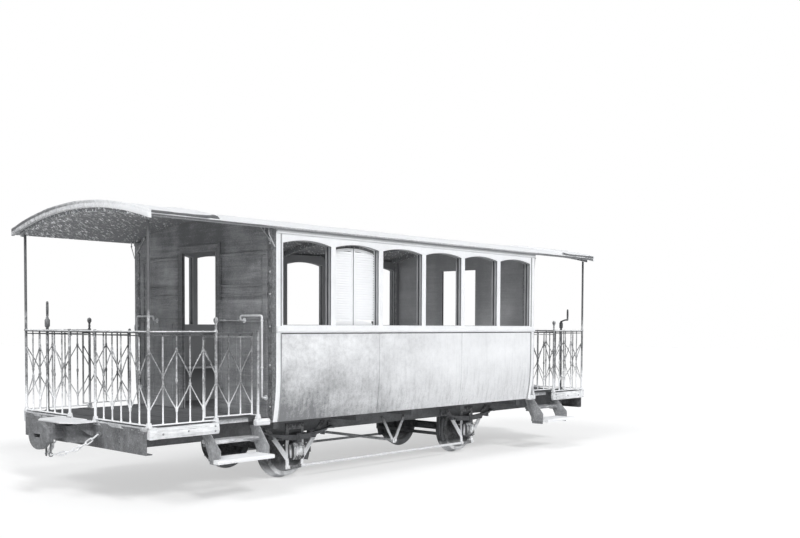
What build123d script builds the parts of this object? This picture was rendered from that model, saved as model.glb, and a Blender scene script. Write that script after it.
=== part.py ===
from build123d import *
import math
import os

# Narrow-gauge four-wheel passenger carriage with open end platforms.
# Millimetres, +X along the carriage, +Y across it, +Z up. The origin is below the middle
# of the carriage, at the lowest points of the wheel flanges. Heights that end in _h are
# measured from the top of the rail. End "a" is at -X and side "near" is at -Y.

# Main sizes
bay = 710.0
bay_count = 6
end_pillar = 60.0
half_width = 1272.0
wheel_base = 2950.0
platform_length = 1380.0
floor_h = 723.0
flange_depth = 28.0

# Body side
wall = 92.0
panel_bottom_h = floor_h - 43.0
turn_under = 54.0
turn_start_h = floor_h + 457.0
waist_h = floor_h + 840.0
sill_h = waist_h + 71.0
window_width = 654.0
window_height = 818.0
window_rise = 42.0
window_spring_h = sill_h + window_height
strip_width = 46.0
strip_proud = 7.0
sill_proud = 26.0
pillar_size = 76.0

# Bulkhead
door_half = 300.0
door_height = 1689.0
door_top_h = floor_h + door_height
door_frame = 84.0
bulkhead_thick = 20.0
rail_proud = 12.0

# Roof
roof_over = 34.0
roof_half = half_width + roof_over
head_height = 80.0
roof_edge_h = window_spring_h + window_rise + head_height
roof_rise = 176.0
roof_thick = 36.0
roof_overhang = 54.0
hood_length = 724.0
hood_thick = 24.0
fascia_drop = 12.0
fascia_thick = 30.0
hoop_depth = 60.0
hoop_width = 45.0
slim_hoop = 42.0
eave_depth = 39.0
eave_proud = 22.0

# Underframe
headstock_depth = 225.0
headstock_short = 122.0
headstock_half = half_width - headstock_short
headstock_web = 12.0
headstock_flange = 66.0
solebar_depth = 200.0
solebar_face = 712.0
solebar_flange = 62.0
steel = 10.0
floor_boards = 35.0
beam_depth = 108.0
beam_thick = 62.0
stub_depth = 70.0
step_notch = 78.0
bearer_xs = (-2060.0, -900.0, 0.0, 900.0, 2060.0)
bearer_width = 70.0

# Wheels and running gear
wheel_radius = 295.0
wheel_width = 122.0
wheel_back = 463.0
flange_width = 32.0
axle_radius = 52.0
journal_radius = 38.0
journal_end = 762.0
box_half = 74.0
box_low_h = 196.0
box_high_h = 382.0
box_back = 650.0
box_front = 800.0
guard_thick = 12.0
guard_gap = 84.0
guard_leg = 40.0
guard_foot_h = 118.0
guard_spread = 320.0
tie_radius = 12.0
running = 0.5

# Platform ironwork
post_out = half_width - 107.0
post_radius = 13.5
rail_h = floor_h + 860.0
lower_rail_h = rail_h - 37.0
foot_rail_h = floor_h + 28.0
rail_thick = 12.0
joint_drops = (167.0, 388.0, 485.0, 653.0)
baluster_radius = 7.5
corner_inset = 22.0
gangway_half = 245.0
gate_inset = 42.0
gate_length = 556.0
gate_lap = 109.0
hinge_space = 139.0
hinge_offset = 43.0

# Steps
tread_thick = 38.0
step_width = 578.0
step_offset = 137.0
step_plate = 6.0
step_out = 157.0
lower_tread_h = floor_h - 323.0
upper_tread_h = floor_h - 166.0
lower_tread_depth = 270.0
upper_tread_depth = 150.0
tread_nose = 80.0
tread_inset = 56.0

seat_gap = 0.3


def up(height):
    """A height over the rail, as a Z of the model."""
    return flange_depth + height


body_half = bay * bay_count / 2 + end_pillar
frame_half = body_half + platform_length
axle_z = up(wheel_radius)
axle_x = wheel_base / 2
post_x = frame_half - corner_inset
hinge_x = body_half + hinge_space
gate_hinge_x = hinge_x + hinge_offset
latch_x = gate_hinge_x + gate_length - gate_lap + 8
beam_end_x = latch_x - 27
stub_x = hinge_x + 37
step_a_x = body_half + step_offset
step_b_x = step_a_x + step_width
inner_half = half_width - wall
FLOOR = up(floor_h)
roof_radius = (roof_half**2 + roof_rise**2) / (2 * roof_rise)
roof_centre = up(roof_edge_h + roof_thick) + roof_rise - roof_radius


def under_roof(y, drop=0.0):
    """Height of the roof's underside, or of a hoop that hangs below it, at y from the middle."""
    return roof_centre + math.sqrt((roof_radius - roof_thick - drop) ** 2 - y**2)


SIDE_TOP = under_roof(half_width) - seat_gap
SOLEBAR_TOP = up(floor_h - floor_boards)
SOLEBAR_LOW = SOLEBAR_TOP - solebar_depth


def block(x0, x1, y0, y1, z0, z1):
    """A box between two corners."""
    size = Box(abs(x1 - x0), abs(y1 - y0), abs(z1 - z0))
    return Pos((x0 + x1) / 2, (y0 + y1) / 2, (z0 + z1) / 2) * size


def rod(start, end, radius):
    """A round bar from one point to another."""
    a = Vector(*start)
    b = Vector(*end)
    plane = Plane(origin=(a + b) * 0.5, z_dir=(b - a).normalized())
    return plane * Cylinder(radius, (b - a).length)


def prism_xz(points, y0, y1):
    """A flat plate cut to an outline of (x, z) points, from y0 to y1."""
    face = make_face(Polyline(*[(x, z) for x, z in points], close=True))
    solid = extrude(Plane.XZ * face, amount=-(y1 - y0))
    return Pos(0, y0, 0) * solid


def prism_yz(points, x0, x1):
    """A flat plate cut to an outline of (y, z) points, from x0 to x1."""
    face = make_face(Polyline(*[(y, z) for y, z in points], close=True))
    return Pos(x0, 0, 0) * extrude(Plane.YZ * face, amount=x1 - x0)


def across(shape):
    """The same piece on the other side of the carriage."""
    return mirror(shape, about=Plane.XZ)


def along(shape):
    """The same piece at the other end of the carriage."""
    return mirror(shape, about=Plane.YZ)


def four(shape):
    """One piece for each corner, from the one at end a on the near side."""
    return [shape, across(shape), along(shape), along(across(shape))]


def join(pieces):
    """Overlapping or touching pieces made one solid."""
    first = pieces[0]
    return first.fuse(*pieces[1:]) if len(pieces) > 1 else first


parts = {}


def keep(name, *pieces):
    """Collects the solids of a node."""
    solids = []
    for piece in pieces:
        solids += piece.solids()
    parts[name] = solids


# Underframe: two channel sole bars, a channel headstock at each end, cross bearers


def channel_yz(y_web, y_flange, z0, z1, web):
    """Channel outline with its back at y_web and its flanges towards y_flange."""
    s = 1.0 if y_flange > y_web else -1.0
    return [
        (y_web, z0), (y_flange, z0), (y_flange, z0 + steel), (y_web + s * web, z0 + steel),
        (y_web + s * web, z1 - steel), (y_flange, z1 - steel), (y_flange, z1), (y_web, z1),
    ]


def make_solebars():
    outline = channel_yz(-solebar_face, -solebar_face + solebar_flange, SOLEBAR_LOW, SOLEBAR_TOP, steel)
    reach = frame_half - headstock_web
    bar = prism_yz(outline, -reach, reach)
    return [bar, across(bar)]


def make_headstock():
    z1 = SOLEBAR_LOW + headstock_depth
    inner = frame_half - headstock_flange
    outline = [
        (-frame_half, SOLEBAR_LOW - steel), (-inner, SOLEBAR_LOW - steel), (-inner, SOLEBAR_LOW),
        (-frame_half + headstock_web, SOLEBAR_LOW), (-frame_half + headstock_web, z1),
        (-frame_half, z1),
    ]
    return prism_xz(outline, -headstock_half, headstock_half)


def make_bearers():
    bearers = []
    y = solebar_face - steel
    for x in bearer_xs:
        x0 = x - bearer_width / 2
        x1 = x + bearer_width / 2
        inner = block(x0, x1, -y, y, SOLEBAR_LOW + steel, SOLEBAR_TOP - steel)
        hollow = block(x0 + steel, x1 + 1, -y - 1, y + 1, SOLEBAR_LOW + 2 * steel, SOLEBAR_TOP - 2 * steel)
        bearers.append(inner - hollow)
        for s in (-1, 1):
            y0 = s * (solebar_face + seat_gap)
            y1 = s * (half_width - turn_under - wall - 12)
            bearers.append(block(x0, x1, y0, y1, SOLEBAR_TOP - 90, SOLEBAR_TOP))
    return bearers


keep("solebars", *make_solebars())
keep("cross_bearers", *make_bearers())

# Floors and platform side beams
body_floor_half = half_width - turn_under - wall - 8
beam_in = post_out - beam_thick / 2
platform_floor = block(
    -frame_half + headstock_web, -body_half, -beam_in, beam_in, SOLEBAR_TOP, FLOOR
)
step_slot = block(-beam_end_x, -stub_x, -beam_in - 1, -beam_in + step_notch, SOLEBAR_TOP - 1, FLOOR + 1)
platform_floor = platform_floor - step_slot - across(step_slot)
side_beam = block(
    -frame_half + headstock_web, -beam_end_x, -beam_in, -beam_in - beam_thick, FLOOR - beam_depth, FLOOR
)
beam_stub = block(
    -stub_x, -body_half, -beam_in, -beam_in - beam_thick, FLOOR - stub_depth, FLOOR
)
keep("platform_side_beams", *four(side_beam), *four(beam_stub))


# Body sides: a lower panel with turn-under, and a frame of arched windows over it


def lower_panel():
    z0 = up(panel_bottom_h)
    z1 = up(waist_h)
    zt = up(turn_start_h)
    drop = zt - z0
    radius = (drop**2 + turn_under**2) / (2 * turn_under)
    mid = math.asin(drop / radius) / 2
    y_mid = half_width - radius * (1 - math.cos(mid))
    z_mid = zt - radius * math.sin(mid)
    outer = [
        Line((-half_width, z1), (-half_width, zt)),
        ThreePointArc((-half_width, zt), (-y_mid, z_mid), (-half_width + turn_under, z0)),
    ]
    inner_mid = (-y_mid + wall, z_mid)
    inner = [
        Line((-half_width + turn_under, z0), (-half_width + turn_under + wall, z0)),
        ThreePointArc((-half_width + turn_under + wall, z0), inner_mid, (-inner_half, zt)),
        Line((-inner_half, zt), (-inner_half, z1)),
        Line((-inner_half, z1), (-half_width, z1)),
    ]
    face = make_face(outer + inner)
    length = 2 * (body_half - pillar_size)
    return Pos(-length / 2, 0, 0) * extrude(Plane.YZ * face, amount=length)


panel = lower_panel()
keep("lower_side_near", panel)
keep("lower_side_far", across(panel))


def window_frame():
    reach = body_half - pillar_size
    side = block(-reach, reach, -half_width, -inner_half, up(waist_h), SIDE_TOP)
    spring = up(window_spring_h)
    for i in range(bay_count):
        x = (i - (bay_count - 1) / 2) * bay
        x0 = x - window_width / 2
        x1 = x + window_width / 2
        edges = [
            Line((x0, up(sill_h)), (x1, up(sill_h))),
            Line((x1, up(sill_h)), (x1, spring)),
            ThreePointArc((x1, spring), (x, spring + window_rise), (x0, spring)),
            Line((x0, spring), (x0, up(sill_h))),
        ]
        hole = extrude(Plane.XZ * make_face(edges), amount=wall + 20)
        side = side - Pos(0, -half_width + wall + 10, 0) * hole
    return side


frame_near = window_frame()
keep("window_frame_far", across(frame_near))


def moulding(z0, z1, proud):
    """A long strip on the side, with a chamfered lower edge."""
    y = half_width
    outline = [(-y, z0), (-y, z1), (-y - proud, z1), (-y - proud, z0 + proud * 0.6), (-y - proud * 0.4, z0)]
    return prism_yz(outline, -body_half, body_half)


sill_moulding = moulding(up(waist_h), up(sill_h) - 2, sill_proud)
EAVE_TOP = under_roof(half_width + eave_proud) - seat_gap
eave_moulding = moulding(EAVE_TOP - eave_depth, EAVE_TOP, eave_proud)
keep(
    "side_mouldings", sill_moulding, across(sill_moulding), eave_moulding, across(eave_moulding)
)


def cover_strip(x, width):
    """A vertical strip that follows the side down to its lower edge."""
    zt = up(turn_start_h)
    z0 = up(panel_bottom_h)
    drop = zt - z0
    radius = (drop**2 + turn_under**2) / (2 * turn_under)
    mid = math.asin(drop / radius) / 2
    y_mid = half_width - radius * (1 - math.cos(mid))
    z_mid = zt - radius * math.sin(mid)
    p = strip_proud
    z1 = up(waist_h)
    edges = [
        Line((-half_width, z1), (-half_width, zt)),
        ThreePointArc((-half_width, zt), (-y_mid, z_mid), (-half_width + turn_under, z0)),
        Line((-half_width + turn_under, z0), (-half_width + turn_under - p, z0)),
        ThreePointArc((-half_width + turn_under - p, z0), (-y_mid - p, z_mid), (-half_width - p, zt)),
        Line((-half_width - p, zt), (-half_width - p, z1)),
        Line((-half_width - p, z1), (-half_width, z1)),
    ]
    strip = extrude(Plane.YZ * make_face(edges), amount=width)
    return Pos(x - width / 2, 0, 0) * strip


strips = []
for k in range(2, bay_count, 2):
    strips.append(cover_strip((k - bay_count / 2) * bay, strip_width))
keep("cover_strips", *strips, *[across(s) for s in strips])


def corner_pillar():
    """The post at a corner of the body, which takes the panel and the bulkhead."""
    zt = up(turn_start_h)
    z0 = up(panel_bottom_h)
    drop = zt - z0
    radius = (drop**2 + turn_under**2) / (2 * turn_under)
    mid = math.asin(drop / radius) / 2
    y_mid = half_width - radius * (1 - math.cos(mid))
    z_mid = zt - radius * math.sin(mid)
    z1 = SIDE_TOP
    depth = pillar_size
    edges = [
        Line((-half_width, z1), (-half_width, zt)),
        ThreePointArc((-half_width, zt), (-y_mid, z_mid), (-half_width + turn_under, z0)),
        Line((-half_width + turn_under, z0), (-half_width + turn_under + depth, z0)),
        Line((-half_width + turn_under + depth, z0), (-half_width + turn_under + depth, z1)),
        Line((-half_width + turn_under + depth, z1), (-half_width, z1)),
    ]
    post = extrude(Plane.YZ * make_face(edges), amount=pillar_size)
    return Pos(-body_half, 0, 0) * post


keep("corner_pillars", *four(corner_pillar()))
keep("body_floor", block(-body_half, body_half, -body_floor_half, body_floor_half, SOLEBAR_TOP, FLOOR))

# Roof, in sections that are arcs with the same centre


def concentric(r_out, r_in, half, x0, x1):
    """An arched strip about the roof's centre between two radii."""
    z_out = roof_centre + math.sqrt(r_out**2 - half**2)
    z_in = roof_centre + math.sqrt(r_in**2 - half**2)
    edges = [
        ThreePointArc((-half, z_out), (0, roof_centre + r_out), (half, z_out)),
        Line((half, z_out), (half, z_in)),
        ThreePointArc((half, z_in), (0, roof_centre + r_in), (-half, z_in)),
        Line((-half, z_in), (-half, z_out)),
    ]
    return Pos(x0, 0, 0) * extrude(Plane.YZ * make_face(edges), amount=x1 - x0)


roof_end = post_x + roof_overhang
keep("roof_shell", concentric(roof_radius, roof_radius - roof_thick, roof_half, -roof_end, roof_end))
hood_top = concentric(roof_radius + hood_thick, roof_radius, roof_half, -roof_end, -roof_end + hood_length)
fascia_in = roof_radius - roof_thick - fascia_drop
fascia = concentric(roof_radius + hood_thick, fascia_in, roof_half, -roof_end - fascia_thick, -roof_end)
keep("roof_hoods", join([hood_top, fascia]), along(join([hood_top, fascia])))

hoops = []
hoop_in = roof_radius - roof_thick
hoop_half = inner_half - 4
hoop_end = body_half - pillar_size - hoop_width
for i in range(bay_count + 1):
    x = (i - bay_count / 2) * bay
    if abs(x) > hoop_end:
        x = math.copysign(hoop_end, x)
    hoops.append(concentric(hoop_in, hoop_in - hoop_depth, hoop_half, x - hoop_width / 2, x + hoop_width / 2))
for x in (-post_x, post_x):
    half = hoop_width / 2
    hoops.append(concentric(hoop_in, hoop_in - slim_hoop, post_out + 60, x - half, x + half))
keep("roof_hoops", *hoops)


# Bulkheads: one panelled wall at each end of the body, with a doorway in the middle
# Columns of the table: height of the rail's middle over the floor, depth of the rail
bulkhead_rails = ((1631.0, 40.0), (1317.0, 26.0), (1222.0, 26.0), (961.0, 34.0), (57.0, 110.0))
lintel = 70.0


def bulkhead():
    half = half_width - pillar_size - turn_under
    x0 = -body_half
    x1 = -body_half + bulkhead_thick
    radius = roof_radius - roof_thick
    z_side = roof_centre + math.sqrt(radius**2 - half**2)
    edges = [
        Line((-half, FLOOR), (half, FLOOR)),
        Line((half, FLOOR), (half, z_side)),
        ThreePointArc((half, z_side), (0, roof_centre + radius), (-half, z_side)),
        Line((-half, z_side), (-half, FLOOR)),
    ]
    plate = Pos(x0, 0, 0) * extrude(Plane.YZ * make_face(edges), amount=bulkhead_thick)
    plate = plate - block(x0 - 1, x1 + 1, -door_half, door_half, FLOOR - 1, up(door_top_h))
    pieces = [plate]
    for over_floor, deep in bulkhead_rails:
        z = floor_h + over_floor
        for s in (-1, 1):
            y_in = s * (door_half + door_frame)
            pieces.append(block(x0 - rail_proud, x0, y_in, s * half, up(z) - deep / 2, up(z) + deep / 2))
    for s in (-1, 1):
        y_in = s * (door_half + door_frame)
        pieces.append(block(x0 - rail_proud, x0, s * door_half, y_in, FLOOR, up(door_top_h) + lintel))
    pieces.append(
        block(x0 - rail_proud, x0, -door_half, door_half, up(door_top_h), up(door_top_h) + lintel)
    )
    return join(pieces)


bulk = bulkhead()
keep("bulkhead_a", bulk)
keep("bulkhead_b", along(bulk))

# Two-leaf louvred shutter in the second window of the near side
leaf_gap = 5.0
leaf_thick = 18.0
leaf_y = -inner_half - leaf_thick
leaf_stile = 42.0
meeting_gap = 6.8
slat_depth = 6.0
slat_count = 12
eye_radius = 4.0
eye_x = window_width / 2 - leaf_gap / 2
eye_heights = (sill_h + 126.0, window_spring_h - 112.0)
shutter_x = (1 - (bay_count - 1) / 2) * bay


def hinge_eye(s, z0, z1, way):
    """An eye on the hinge line of a leaf and its strap, towards the leaf or the jamb."""
    eye_y = -inner_half + eye_radius
    x = shutter_x + s * eye_x
    strap = block(x, x + way * s * 16, -inner_half, -inner_half + 5, z0, z1)
    return join([rod((x, eye_y, z0), (x, eye_y, z1), eye_radius), strap])


def shutter_leaf(s):
    """One leaf, hinged at the side of the window away from the meeting line."""
    outer = window_width / 2 - leaf_gap
    stile = leaf_stile
    z0 = up(sill_h) + leaf_gap
    spring = up(window_spring_h)
    radius = ((window_width / 2) ** 2 + window_rise**2) / (2 * window_rise)
    centre = spring + window_rise - radius
    arc = radius - leaf_gap

    def top(x):
        return centre + math.sqrt(arc**2 - x**2)

    def outline(x0, x1, low, inset):
        xm = (x0 + x1) / 2
        edges = [
            Line((x0, low), (x1, low)),
            Line((x1, low), (x1, top(x1) - inset)),
            ThreePointArc((x1, top(x1) - inset), (xm, top(xm) - inset), (x0, top(x0) - inset)),
            Line((x0, top(x0) - inset), (x0, low)),
        ]
        return make_face(edges)

    x0, x1 = (meeting_gap / 2, outer)
    frame = extrude(Plane.XZ * outline(x0, x1, z0, 0), amount=-leaf_thick)
    recess = extrude(Plane.XZ * outline(x0 + stile, x1 - stile, z0 + stile, stile), amount=-leaf_thick)
    leaf = frame - Pos(0, -leaf_thick + slat_depth, 0) * recess - Pos(0, leaf_thick - slat_depth, 0) * recess
    low = z0 + stile
    high = top(x1 - stile) - stile
    for i in range(slat_count):
        z = low + (i + 0.5) * (high - low) / slat_count
        pitch = (high - low) / slat_count
        tooth = [(0, z - pitch * 0.42), (0, z + pitch * 0.42), (slat_depth, z + pitch * 0.42)]
        slat = prism_yz([(a, c) for a, c in tooth], x0 + stile, x1 - stile)
        leaf = leaf.fuse(Pos(0, 1, 0) * slat)
    if s < 0:
        leaf = mirror(leaf, about=Plane.YZ)
    leaf = Pos(shutter_x, leaf_y, 0) * leaf
    eyes = [hinge_eye(s, up(h) - 30, up(h) - seat_gap / 2, -1) for h in eye_heights]
    return join([leaf] + eyes)


jamb_eyes = [hinge_eye(s, up(h) + seat_gap / 2, up(h) + 30, 1) for h in eye_heights for s in (-1, 1)]
keep("window_frame_near", join([frame_near] + jamb_eyes))
keep("shutter_leaf_a", shutter_leaf(-1))
keep("shutter_leaf_b", shutter_leaf(1))

# Platform posts
GATE_TOP = up(rail_h) - 20
GATE_FOOT = up(foot_rail_h) + 16
BAR_FOOT = up(lower_rail_h) - 16
lug_thick = 5.0
finial_h = rail_h + 107.0

foot_size = 44.0
foot_high = 44.0


def post_with_foot(x, y, z0, z1, radius):
    """A round post on a four-sided tapering foot."""
    base = Plane.XY.offset(z0) * Rectangle(foot_size, foot_size)
    top = Plane.XY.offset(z0 + foot_high) * Rectangle(radius * 2.4, radius * 2.4)
    foot = loft([base.faces()[0], top.faces()[0]])
    return Pos(x, y, 0) * join([foot, rod((0, 0, z0 + 5), (0, 0, z1), radius)])


post_top = under_roof(post_out + post_radius, slim_hoop) - seat_gap
corner_post = post_with_foot(-post_x, -post_out, FLOOR, post_top, post_radius)
keep("corner_posts", *four(corner_post))
latch_post = post_with_foot(-latch_x, -post_out, FLOOR, up(rail_h) + 16, post_radius)
finial = Pos(-latch_x, -post_out, up(finial_h)) * Sphere(24)
neck = rod((-latch_x, -post_out, up(rail_h)), (-latch_x, -post_out, up(finial_h)), 10)
latch_post = join([latch_post, neck, finial])


def hinge_lug(z):
    """A flat lug from the hinge post to the stile of the gate."""
    dx = gate_hinge_x - hinge_x
    angle = math.degrees(math.atan2(gate_inset, -dx))
    length = math.hypot(dx, gate_inset)
    bar = Pos(length / 2, 0, 0) * Box(length + 20, 20, lug_thick)
    return Pos(-hinge_x, -post_out, z + lug_thick / 2) * Rot(0, 0, angle) * bar


hinge_post = post_with_foot(-hinge_x, -post_out, FLOOR, GATE_TOP + seat_gap + lug_thick, post_radius)
hinge_post = join(
    [hinge_post, hinge_lug(GATE_FOOT - seat_gap - lug_thick), hinge_lug(GATE_TOP + seat_gap)]
)
gangway_post = post_with_foot(-post_x, -gangway_half, FLOOR, up(rail_h) + 10, post_radius)
bar_lug = block(
    -post_x - 10, -post_x + 10, -gangway_half, -gangway_half + post_radius + 26,
    BAR_FOOT - seat_gap - lug_thick, BAR_FOOT - seat_gap,
)
gangway_post = join([gangway_post, bar_lug])
keep("short_posts", *four(latch_post), *four(hinge_post), *four(gangway_post))


# Lattice railings


def lattice(length, spaces, z_low, z_high):
    """Round balusters along +X from x = 0 with forked arms between them, one solid.

    The second, fourth and so on have arms that fall from a point near the top to their
    neighbours and rise from them again to a point near the foot.
    """
    pitch = length / spaces
    pieces = []
    high_joint, upper_side, lower_side, low_joint = [up(rail_h) - drop for drop in joint_drops]
    for i in range(1, spaces):
        pieces.append(rod((i * pitch, 0, z_low), (i * pitch, 0, z_high), baluster_radius))
    for i in range(0, spaces + 1, 2):
        for s in (-1, 1):
            n = i + s
            if n < 0 or n > spaces:
                continue
            pieces.append(rod((i * pitch, 0, high_joint), (n * pitch, 0, upper_side), baluster_radius * 0.75))
            pieces.append(rod((i * pitch, 0, low_joint), (n * pitch, 0, lower_side), baluster_radius * 0.75))
    return pieces


def railing(length, spaces, start, end):
    """A railing between two posts: rails over, under and a lattice between."""
    top = up(rail_h)
    low = up(lower_rail_h)
    foot = up(foot_rail_h)
    foot_start = start + foot_size / 2 - post_radius
    foot_end = end - foot_size / 2 + post_radius
    pieces = [
        block(start, end, -post_radius, post_radius, top - rail_thick, top),
        block(start, end, -9, 9, low - 10, low),
        block(foot_start, foot_end, -14, 14, foot - 10, foot),
    ]
    inner = [p for p in lattice(length, spaces, foot - 5, low - 5)]
    trim = block(start, end, -30, 30, foot - 20, top + 20)
    pieces += [p & trim for p in inner]
    for i in range(1, spaces):
        x = i * length / spaces
        pieces.append(block(x - 6, x + 6, -6, 6, low - 5, top - 5))
    return join(pieces)


clear = post_radius + seat_gap
side_length = post_x - latch_x
side_rail = railing(side_length, 5, clear, side_length - clear)
side_rail = Pos(-post_x, -post_out, 0) * side_rail
keep("side_railings", *four(side_rail))
end_length = post_out - gangway_half
end_rail = railing(end_length, 6, clear, end_length - clear)
end_rail = Pos(-post_x, -post_out, 0) * Rot(0, 0, 90) * end_rail
keep("end_railings", *four(end_rail))


def gate():
    """A gate over the steps, hinged at x = 0 and reaching to -X."""
    top = GATE_TOP
    foot = GATE_FOOT
    spaces = 4
    bars = lattice(gate_length, spaces, foot, top - 20)
    trim = block(0, gate_length, -20, 20, foot, top)
    pieces = [p & trim for p in bars]
    pieces += [
        block(-8, gate_length + 8, -9, 9, top - 10, top),
        block(-8, gate_length + 8, -9, 9, top - 44, top - 35),
        block(-8, gate_length + 8, -9, 9, foot, foot + 12),
        rod((0, 0, foot), (0, 0, top), 10),
        rod((gate_length, 0, foot), (gate_length, 0, top), 10),
    ]
    return mirror(join(pieces), about=Plane.YZ)


gate_y = -post_out + gate_inset
gate_near_a = Pos(-gate_hinge_x, gate_y, 0) * gate()
keep("gate_a_near", gate_near_a)
keep("gate_a_far", across(gate_near_a))
keep("gate_b_near", along(gate_near_a))
keep("gate_b_far", along(across(gate_near_a)))

# Bars across the gangway between the two middle posts
bar_half = 8.0
bar_hinge_y = gangway_half - post_radius - 14


def gangway_bar():
    """Two rails between upright ends, the first of which turns on the post's lug."""
    top = up(rail_h)
    low = up(lower_rail_h)
    length = 2 * bar_hinge_y
    pieces = [
        rod((0, 0, BAR_FOOT), (0, 0, top), bar_half),
        rod((0, length, BAR_FOOT), (0, length, top), bar_half),
        block(-bar_half, bar_half, 0, length, top - 12, top),
        block(-5, 5, 0, length, low - 10, low),
    ]
    return join(pieces)


bar_a = Pos(-post_x, -bar_hinge_y, 0) * gangway_bar()
keep("gangway_bar_a", bar_a)
keep("gangway_bar_b", Rot(0, 0, 180) * bar_a)

# Fall plates, hinged on lugs of the headstocks and held level by brackets
plate_half = 345.0
plate_reach = 325.0
plate_thick = 10.0
knuckle_radius = 9.0
knuckle_x = frame_half + knuckle_radius + 1.3
knuckle_z = FLOOR + 1
lug_spans = ((-248.0, -152.0), (152.0, 248.0))
bracket_y = 232.0
bracket_reach = 190.0


def fall_plate():
    """A plate with cut corners and three knuckles, level at rest."""
    corner = 90.0
    x0 = -knuckle_x - knuckle_radius - 3
    x1 = -frame_half - plate_reach
    outline = Polyline(
        (x0, -plate_half), (x0, plate_half), (x1 + corner, plate_half), (x1, plate_half - 1.6 * corner),
        (x1, -plate_half + 1.6 * corner), (x1 + corner, -plate_half), close=True,
    )
    pieces = [Pos(0, 0, knuckle_z - plate_thick / 2) * extrude(make_face(outline), amount=plate_thick)]
    edge = plate_half
    for y0, y1 in ((-edge, -250.0), (-150.0, 150.0), (250.0, edge)):
        pieces.append(rod((-knuckle_x, y0, knuckle_z), (-knuckle_x, y1, knuckle_z), knuckle_radius))
        half = plate_thick / 2
        pieces.append(block(x0 - 1, -knuckle_x, y0, y1, knuckle_z - half, knuckle_z + half))
    return join(pieces)


def plate_lugs():
    """Knuckles and level brackets, which belong to the headstock."""
    pieces = []
    for y0, y1 in lug_spans:
        pieces.append(rod((-knuckle_x, y0, knuckle_z), (-knuckle_x, y1, knuckle_z), knuckle_radius))
        pieces.append(block(-knuckle_x, -frame_half, y0, y1, knuckle_z - 29, knuckle_z))
    for s in (-1, 1):
        top = knuckle_z - plate_thick / 2 - seat_gap
        x_tip = -knuckle_x - bracket_reach
        outline = [
            (-frame_half, top - 150), (-frame_half, top - 14), (-knuckle_x - knuckle_radius - 6, top - 14),
            (-knuckle_x - knuckle_radius - 6, top), (x_tip, top), (x_tip, top - 14),
        ]
        pieces.append(prism_xz(outline, s * bracket_y - 5, s * bracket_y + 5))
    return pieces


plate_a = fall_plate()
keep("fall_plate_a", plate_a)
keep("fall_plate_b", along(plate_a))
headstock_a = join([make_headstock()] + plate_lugs())

# Steps: sheet side plates and two wooden treads on each side, beside the body


def steps():
    """The two side plates of one flight, hung from the beam and its stub."""
    plates = []
    out = -beam_in - beam_thick + 4
    nose = -beam_in - step_out - 48
    back = nose + lower_tread_depth - tread_nose
    low = up(lower_tread_h)
    for x, top in ((-step_b_x, FLOOR - beam_depth), (-step_a_x - step_plate, FLOOR - stub_depth)):
        top -= seat_gap
        outline = [
            (out + 150, top), (out, top), (nose, low + 72), (nose, low - tread_thick),
            (back, low - tread_thick), (back, low + 12), (out + 106, low + 130),
        ]
        plates.append(prism_yz(outline, x, x + step_plate))
    return plates


side_plates = steps()
tread_out = -beam_in - step_out - 48
x0 = -step_b_x + step_plate + seat_gap
x1 = -step_a_x - step_plate - seat_gap
upper_out = -beam_in - tread_inset
upper_top = up(upper_tread_h)
tread_upper = block(x0, x1, upper_out, upper_out + upper_tread_depth, upper_top - tread_thick, upper_top)
tread_top = up(lower_tread_h)
tread_low = tread_top - tread_thick
tread_back = tread_out + lower_tread_depth - tread_nose
nose_end = -step_b_x - tread_nose
tread_lower = join([
    block(x0, x1, tread_out - seat_gap, tread_back, tread_low, tread_top),
    block(nose_end, -step_a_x, tread_out - tread_nose, tread_out - seat_gap, tread_low, tread_top),
])
plates = []
treads = []
for plate in side_plates:
    plates += four(plate)
for tread in (tread_upper, tread_lower):
    treads += four(tread)
keep("step_sides", *plates)
keep("step_treads", *treads)

# Bent grab rails on the bulkheads
grab_radius = 11.0
grab_edge = 142.0
grab_reach = 340.0
grab_foot = 197.0
grab_rise = 149.0
grab_down = 48.0
grab_out = half_width - grab_edge
grab_in = grab_out - grab_reach
grab_foot_h = floor_h + grab_foot
grab_top_h = rail_h + grab_rise
grab_end_h = grab_top_h - grab_down
grab_stand = 62.0
grab_bend = 22.0


def grab_rail():
    wall_x = -body_half - rail_proud - seat_gap
    x = -body_half - grab_stand
    pts = [
        (wall_x, -grab_out, up(grab_foot_h)), (x, -grab_out, up(grab_foot_h)), (x, -grab_out, up(grab_top_h)),
        (x, -grab_in, up(grab_top_h)), (x, -grab_in, up(grab_end_h)), (wall_x, -grab_in, up(grab_end_h)),
    ]
    path = FilletPolyline(*pts, radius=grab_bend)
    start = Plane(origin=path @ 0, z_dir=path % 0)
    return sweep(start * Circle(grab_radius), path=path)


keep("grab_rails", *four(grab_rail()))

# Wheels and axles


def wheel():
    """A disc wheel with a conical tread and a flange, its back face at y = 0."""
    w = wheel_width
    r = wheel_radius
    points = [
        (journal_radius + 12, -18), (98, -18), (98, 34), (r - 62, 46), (r - 48, 0), (r + flange_depth - 6, 0),
        (r + flange_depth, 8), (r + flange_depth, 20), (r + 4, flange_width), (r, w - 8), (r - 6, w),
        (r - 50, w), (r - 62, 66), (98, 58), (98, w + 8), (journal_radius + 12, w + 8),
    ]
    face = make_face(Polyline(*[(a, b) for a, b in points], close=True))
    solid = revolve(face, axis=Axis.Y)
    return solid


def placed_wheel(x, s):
    solid = wheel()
    solid = Pos(x, wheel_back, axle_z) * solid
    return solid if s > 0 else across(solid)


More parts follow.
